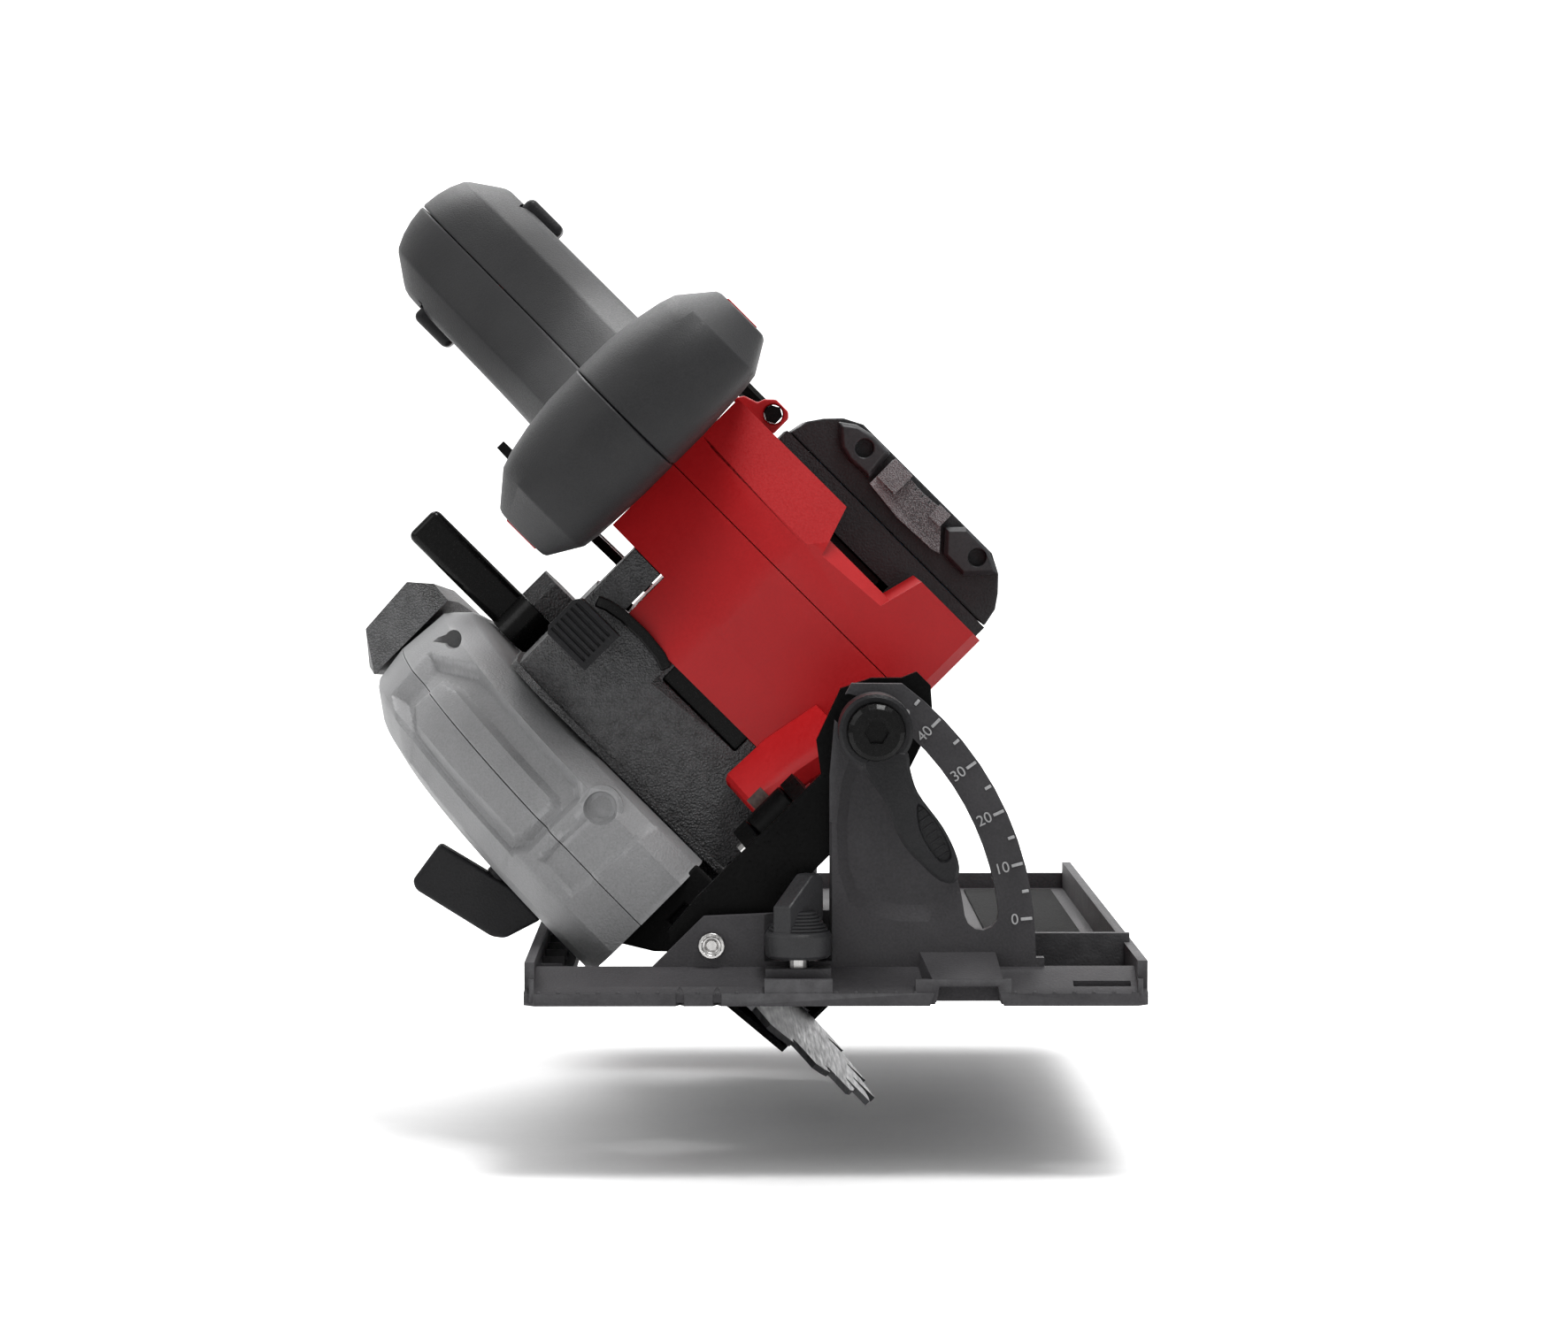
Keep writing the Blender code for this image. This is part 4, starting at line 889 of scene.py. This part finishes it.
def make_number(text, reading):
    """One number of the scale, raised on the quadrant and set along its radius."""
    font = bpy.data.curves.new(f"reading_{text}", "FONT")
    font.body = text
    font.size = 4.3
    font.extrude = 0.25
    font.align_x = "RIGHT"
    font.align_y = "CENTER"
    carrier = bpy.data.objects.new("carrier", font)
    bpy.context.scene.collection.objects.link(carrier)
    graph = bpy.context.evaluated_depsgraph_get()
    mesh = bpy.data.meshes.new_from_object(carrier.evaluated_get(graph))
    bpy.data.objects.remove(carrier)
    t = math.radians(4.86 + reading)
    x, z = on_arc(86.2, reading)
    upright = Matrix.Rotation(math.radians(90), 4, "X")
    bm = bmesh.new()
    bm.from_mesh(mesh)
    place = Matrix.Translation((x, 13.95, z)) @ Matrix.Rotation(-t, 4, "Y") @ upright
    bmesh.ops.transform(bm, matrix=place, verts=bm.verts)
    piece(f"bevel_scale_{text}", bm, SHOE, "guard_metal", "base", width=0.02,
          finish="scale_grey")


def make_bevel_lever():
    """Thumb lever of the bevel clamp: round hub, bent arm and a dished, textured pad."""
    arm = [(7.0, 68.0), (13.2, 57.0), (18.0, 45.7), (24.4, 38.6), (28.9, 34.9), (32.6, 34.6),
           (33.9, 37.8), (33.2, 42.0), (29.6, 49.6), (22.4, 59.6), (20.4, 65.6), (19.2, 71.0)]
    curve = smooth(arm, 4)
    body = loft([[(a, -0.6, b) for a, b in curve], [(a, -2.6, b) for a, b in curve],
                 [(a, -3.6, b) for a, b in inset(curve, 0.9)]])
    hub = turned("y", [(-3.4, 9.4), (-2.8, 10.3), (13.4, 10.3)], CLAMP, 48)
    bore = rod("y", CLAMP, 4.3, -20, 20, 24)
    seat = turned("y", [(-12, 8.2), (-2.0, 8.2)], CLAMP, 48)
    dish = loft([[(a, -6, b) for a, b in grow(smooth(thumb_pad(), 4), 1.12)],
                 [(a, -2.2, b) for a, b in grow(smooth(thumb_pad(), 4), 0.86)]])
    piece("bevel_clamp_lever", hub, SHOE, "black_moulding", "bevel_clamp", ["bevel_lever"],
          joins=[body], cuts=[bore, seat, dish], width=0.35, segments=3)
    make_pad_ribs()


def thumb_pad():
    """Outline of the lever's thumb dish, as X and Z."""
    return [(22.2, 57.0), (22.4, 50.2), (25.4, 43.8), (29.4, 39.6), (31.9, 41.0), (30.9, 45.6),
            (27.0, 52.6)]


def make_pad_ribs():
    """Low ribs in the dish of the bevel lever."""
    bm = bmesh.new()
    for i in range(7):
        x, z = 23.2 + 1.05 * i, 54.2 - 2.0 * i
        place = (Matrix.Translation((x, -2.3, z)) @ Matrix.Rotation(math.radians(-35), 4, "Y")
                 @ Matrix.Diagonal((3.4, 0.5, 0.5, 1)))
        bmesh.ops.create_cube(bm, size=1.0, matrix=place)
    piece("bevel_lever_ribs", bm, SHOE, "black_moulding", "bevel_clamp", width=0.1)


def make_fence_knobs():
    """Wing knobs of the rip fence clamps: ribbed round base under a tall wing."""
    for name, d in (("front", 10.0), ("rear", 251.0)):
        centre = (FENCE[0], d)
        profile = [(12.6, 8.4), (13.4, 9.2), (18.8, 9.4), (19.4, 9.1)]
        for i in range(7):
            z = 19.6 + 0.9 * i
            profile += [(z, 8.9 - 0.62 * i), (z + 0.42, 8.8 - 0.62 * i), (z + 0.5, 8.1 - 0.62 * i)]
        side = [(-8.5, 17), (-8.5, 27.2), (3.2, 35.6), (7.4, 35.6), (8.5, 33.6), (8.5, 17)]
        wing = prism("x", side, -2.9, 2.9)
        bmesh.ops.bevel(wing, geom=wing.edges[:], offset=0.7, segments=3, profile=0.5,
                        affect="EDGES", clamp_overlap=True)
        turn = Matrix.Translation((*centre, 0)) @ Matrix.Rotation(math.radians(-35), 4, "Z")
        bmesh.ops.transform(wing, matrix=turn, verts=wing.verts)
        bore = rod("z", centre, 2.9, 10, 18, 20)
        piece(f"wing_knob_{name}", turned("z", profile, centre, 36), SHOE, "black_moulding",
              f"fence_knob_{name}", [f"fence_knob_{name}"], joins=[wing], cuts=[bore],
              width=0.22, finish="lever_grey")


# ---------------------------------------------------------------- hook and small parts
def make_hook():
    """Rafter hook: an eye on its stud and a long bar with rounded edges."""
    eye = (150.0, 101.0)
    hook = swept("x", [(12.6, 3.3), (12.6, 7.5), (25, 7.5), (25, 3.3)], eye, 0, 360, 40)
    bar = rounded_block((12.7, 24.9), (147.6, 152.6), (104.5, 145.5), 2.3)
    piece("hook_bar", hook, SAW, "gloss_black", "rafter_hook", ["rafter_hook"], joins=[bar],
          width=0.4, segments=3)


def make_front_stop():
    """Black bumper inside the guard's open front corner."""
    outline = [(-20.5, 17.5), (-15, 8.5), (-2, -5), (6, -5), (11, 4), (11, 17.5)]
    notch = box((-6, 1), (40, 44), (2, 12))
    piece("guard_front_stop", prism("y", outline, 41.5, 46.5), SAW, "black_moulding", "saw",
          cuts=[notch], width=0.8, segments=3, finish="flat_black")


def make_pivot_heads():
    """The two bevel pivots, each with a raised ring round a hollow centre."""
    centre = (1000 * PIVOT.x, 1000 * PIVOT.z)
    for name, sign in (("front", -1), ("rear", 1)):
        pin = cad_solid(f"bevel_pivot_{name}", SHOE)
        ends = [v.co.y for v in pin.verts]
        face = min(ends) if sign < 0 else max(ends)
        ring = [(face + sign, 2.9), (face - 0.5 * sign, 2.7), (face - 0.7 * sign, 1.9)]
        cup = turned("y", ring + [(face - 1.6 * sign, 1.5)], centre, 32)
        piece(f"pivot_head_{name}", pin, SHOE, "bright_steel", "base", [f"bevel_pivot_{name}"],
              cuts=[cup], width=0.25, segments=3)


def make_clip():
    """Rounded red clip that holds the blade wrench."""
    clip = [(113.9, 88.4), (120.2, 88.4), (121.7, 90), (121.7, 95.2), (119.4, 97.6),
            (117.2, 98.4), (115.8, 102.6), (112.6, 104.6), (112.2, 99)]
    bore = rod("y", (118, 92.6), 2.86, 100, 120, 24)
    piece("wrench_holder", prism("y", clip, 104, 116), SAW, "red_moulding", "saw",
          ["wrench_clip"], cuts=[bore], width=0.5, segments=3)


# ---------------------------------------------------------------- CAD nodes that stay
DARKER = {"depth_quadrant": "black_steel", "lower_guard": "black_steel",
          "bevel_clamp_bolt": "gloss_black"}


def dress_nodes():
    """Give each CAD node its finish and a small rounded edge."""
    slots = {part["node"]: part["material_slot"] for part in frame["record"]["subparts"]}
    for name, obj in frame["nodes"].items():
        obj.data.materials.clear()
        obj.data.materials.append(MATS[DARKER.get(name, slots[name])])
        soften(obj, 0.0004)


# ---------------------------------------------------------------- camera, light and floor
def add_camera():
    """Long lens a little above the saw, square to its front."""
    data = bpy.data.cameras.new("camera")
    data.lens = 109.95
    data.sensor_width = 36
    data.clip_end = 50
    camera = bpy.data.objects.new("camera", data)
    camera.location = (-0.0274, -1.4775, 0.1568)
    camera.rotation_euler = (math.radians(90 - 2.624), 0, math.radians(-0.561))
    bpy.context.scene.collection.objects.link(camera)
    bpy.context.scene.camera = camera


def add_light(name, place, target, size, watts):
    """A square soft box aimed at a point."""
    data = bpy.data.lights.new(name, "AREA")
    data.size = size
    data.energy = watts
    lamp = bpy.data.objects.new(name, data)
    lamp.location = place
    aim = Vector(target) - Vector(place)
    lamp.rotation_euler = aim.to_track_quat("-Z", "Y").to_euler()
    bpy.context.scene.collection.objects.link(lamp)


def add_studio():
    """A white room of soft light round a pale floor that curves up far behind the saw."""
    world = bpy.data.worlds.new("studio")
    world.use_nodes = True
    world.node_tree.nodes["Background"].inputs["Color"].default_value = (1, 1, 1, 1)
    world.node_tree.nodes["Background"].inputs["Strength"].default_value = 0.57
    bpy.context.scene.world = world
    bpy.context.scene.view_settings.view_transform = "Standard"
    centre = (-0.03, 0, 0.1)
    add_light("key", (0.28, -0.4, 1.55), centre, 0.55, 20)
    add_light("side", (-1.1, -0.7, 0.9), centre, 0.7, 3)
    add_light("rim", (-0.4, 0.9, 1.3), centre, 0.9, 9)
    add_light("backdrop", (0, 2.0, 2.6), (0, 3.4, 0.2), 3.0, 130)
    add_floor()


def add_floor():
    """Pale floor under the blade's lowest tooth, swept up into a wall behind."""
    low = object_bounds()[0][2] - 0.002
    profile = [(-3.0, 0.0), (2.5, 0.0)]
    profile += [(2.5 + 1.5 * math.sin(math.radians(a)), 1.5 - 1.5 * math.cos(math.radians(a)))
                for a in range(10, 91, 10)]
    profile.append((4.0, 4.0))
    bm = bmesh.new()
    rows = [[bm.verts.new((x, y, low + z)) for y, z in profile] for x in (-6.0, 6.0)]
    for i in range(len(profile) - 1):
        bm.faces.new((rows[0][i], rows[0][i + 1], rows[1][i + 1], rows[1][i]))
    bmesh.ops.recalc_face_normals(bm, faces=bm.faces)
    mesh = bpy.data.meshes.new("floor")
    bm.to_mesh(mesh)
    bm.free()
    mesh.shade_smooth()
    floor = bpy.data.objects.new("floor", mesh)
    bpy.context.scene.collection.objects.link(floor)
    mesh.materials.append(grained("floor", (0.90, 0.90, 0.90), (0.92, 0.92, 0.92), 0.8, 300, 0.01))


def main():
    """Dress the saw, set the camera and light it."""
    dress_nodes()
    make_grips()
    make_lock_off()
    make_pommel()
    make_guards()
    make_chute()
    make_gear_case()
    make_lock_strap()
    make_lock_button()
    make_housing_inner()
    make_housing_outer()
    make_battery()
    make_shoe()
    make_bevel_lever()
    make_fence_knobs()
    make_hook()
    make_clip()
    make_front_stop()
    make_pivot_heads()
    add_camera()
    add_studio()


main()
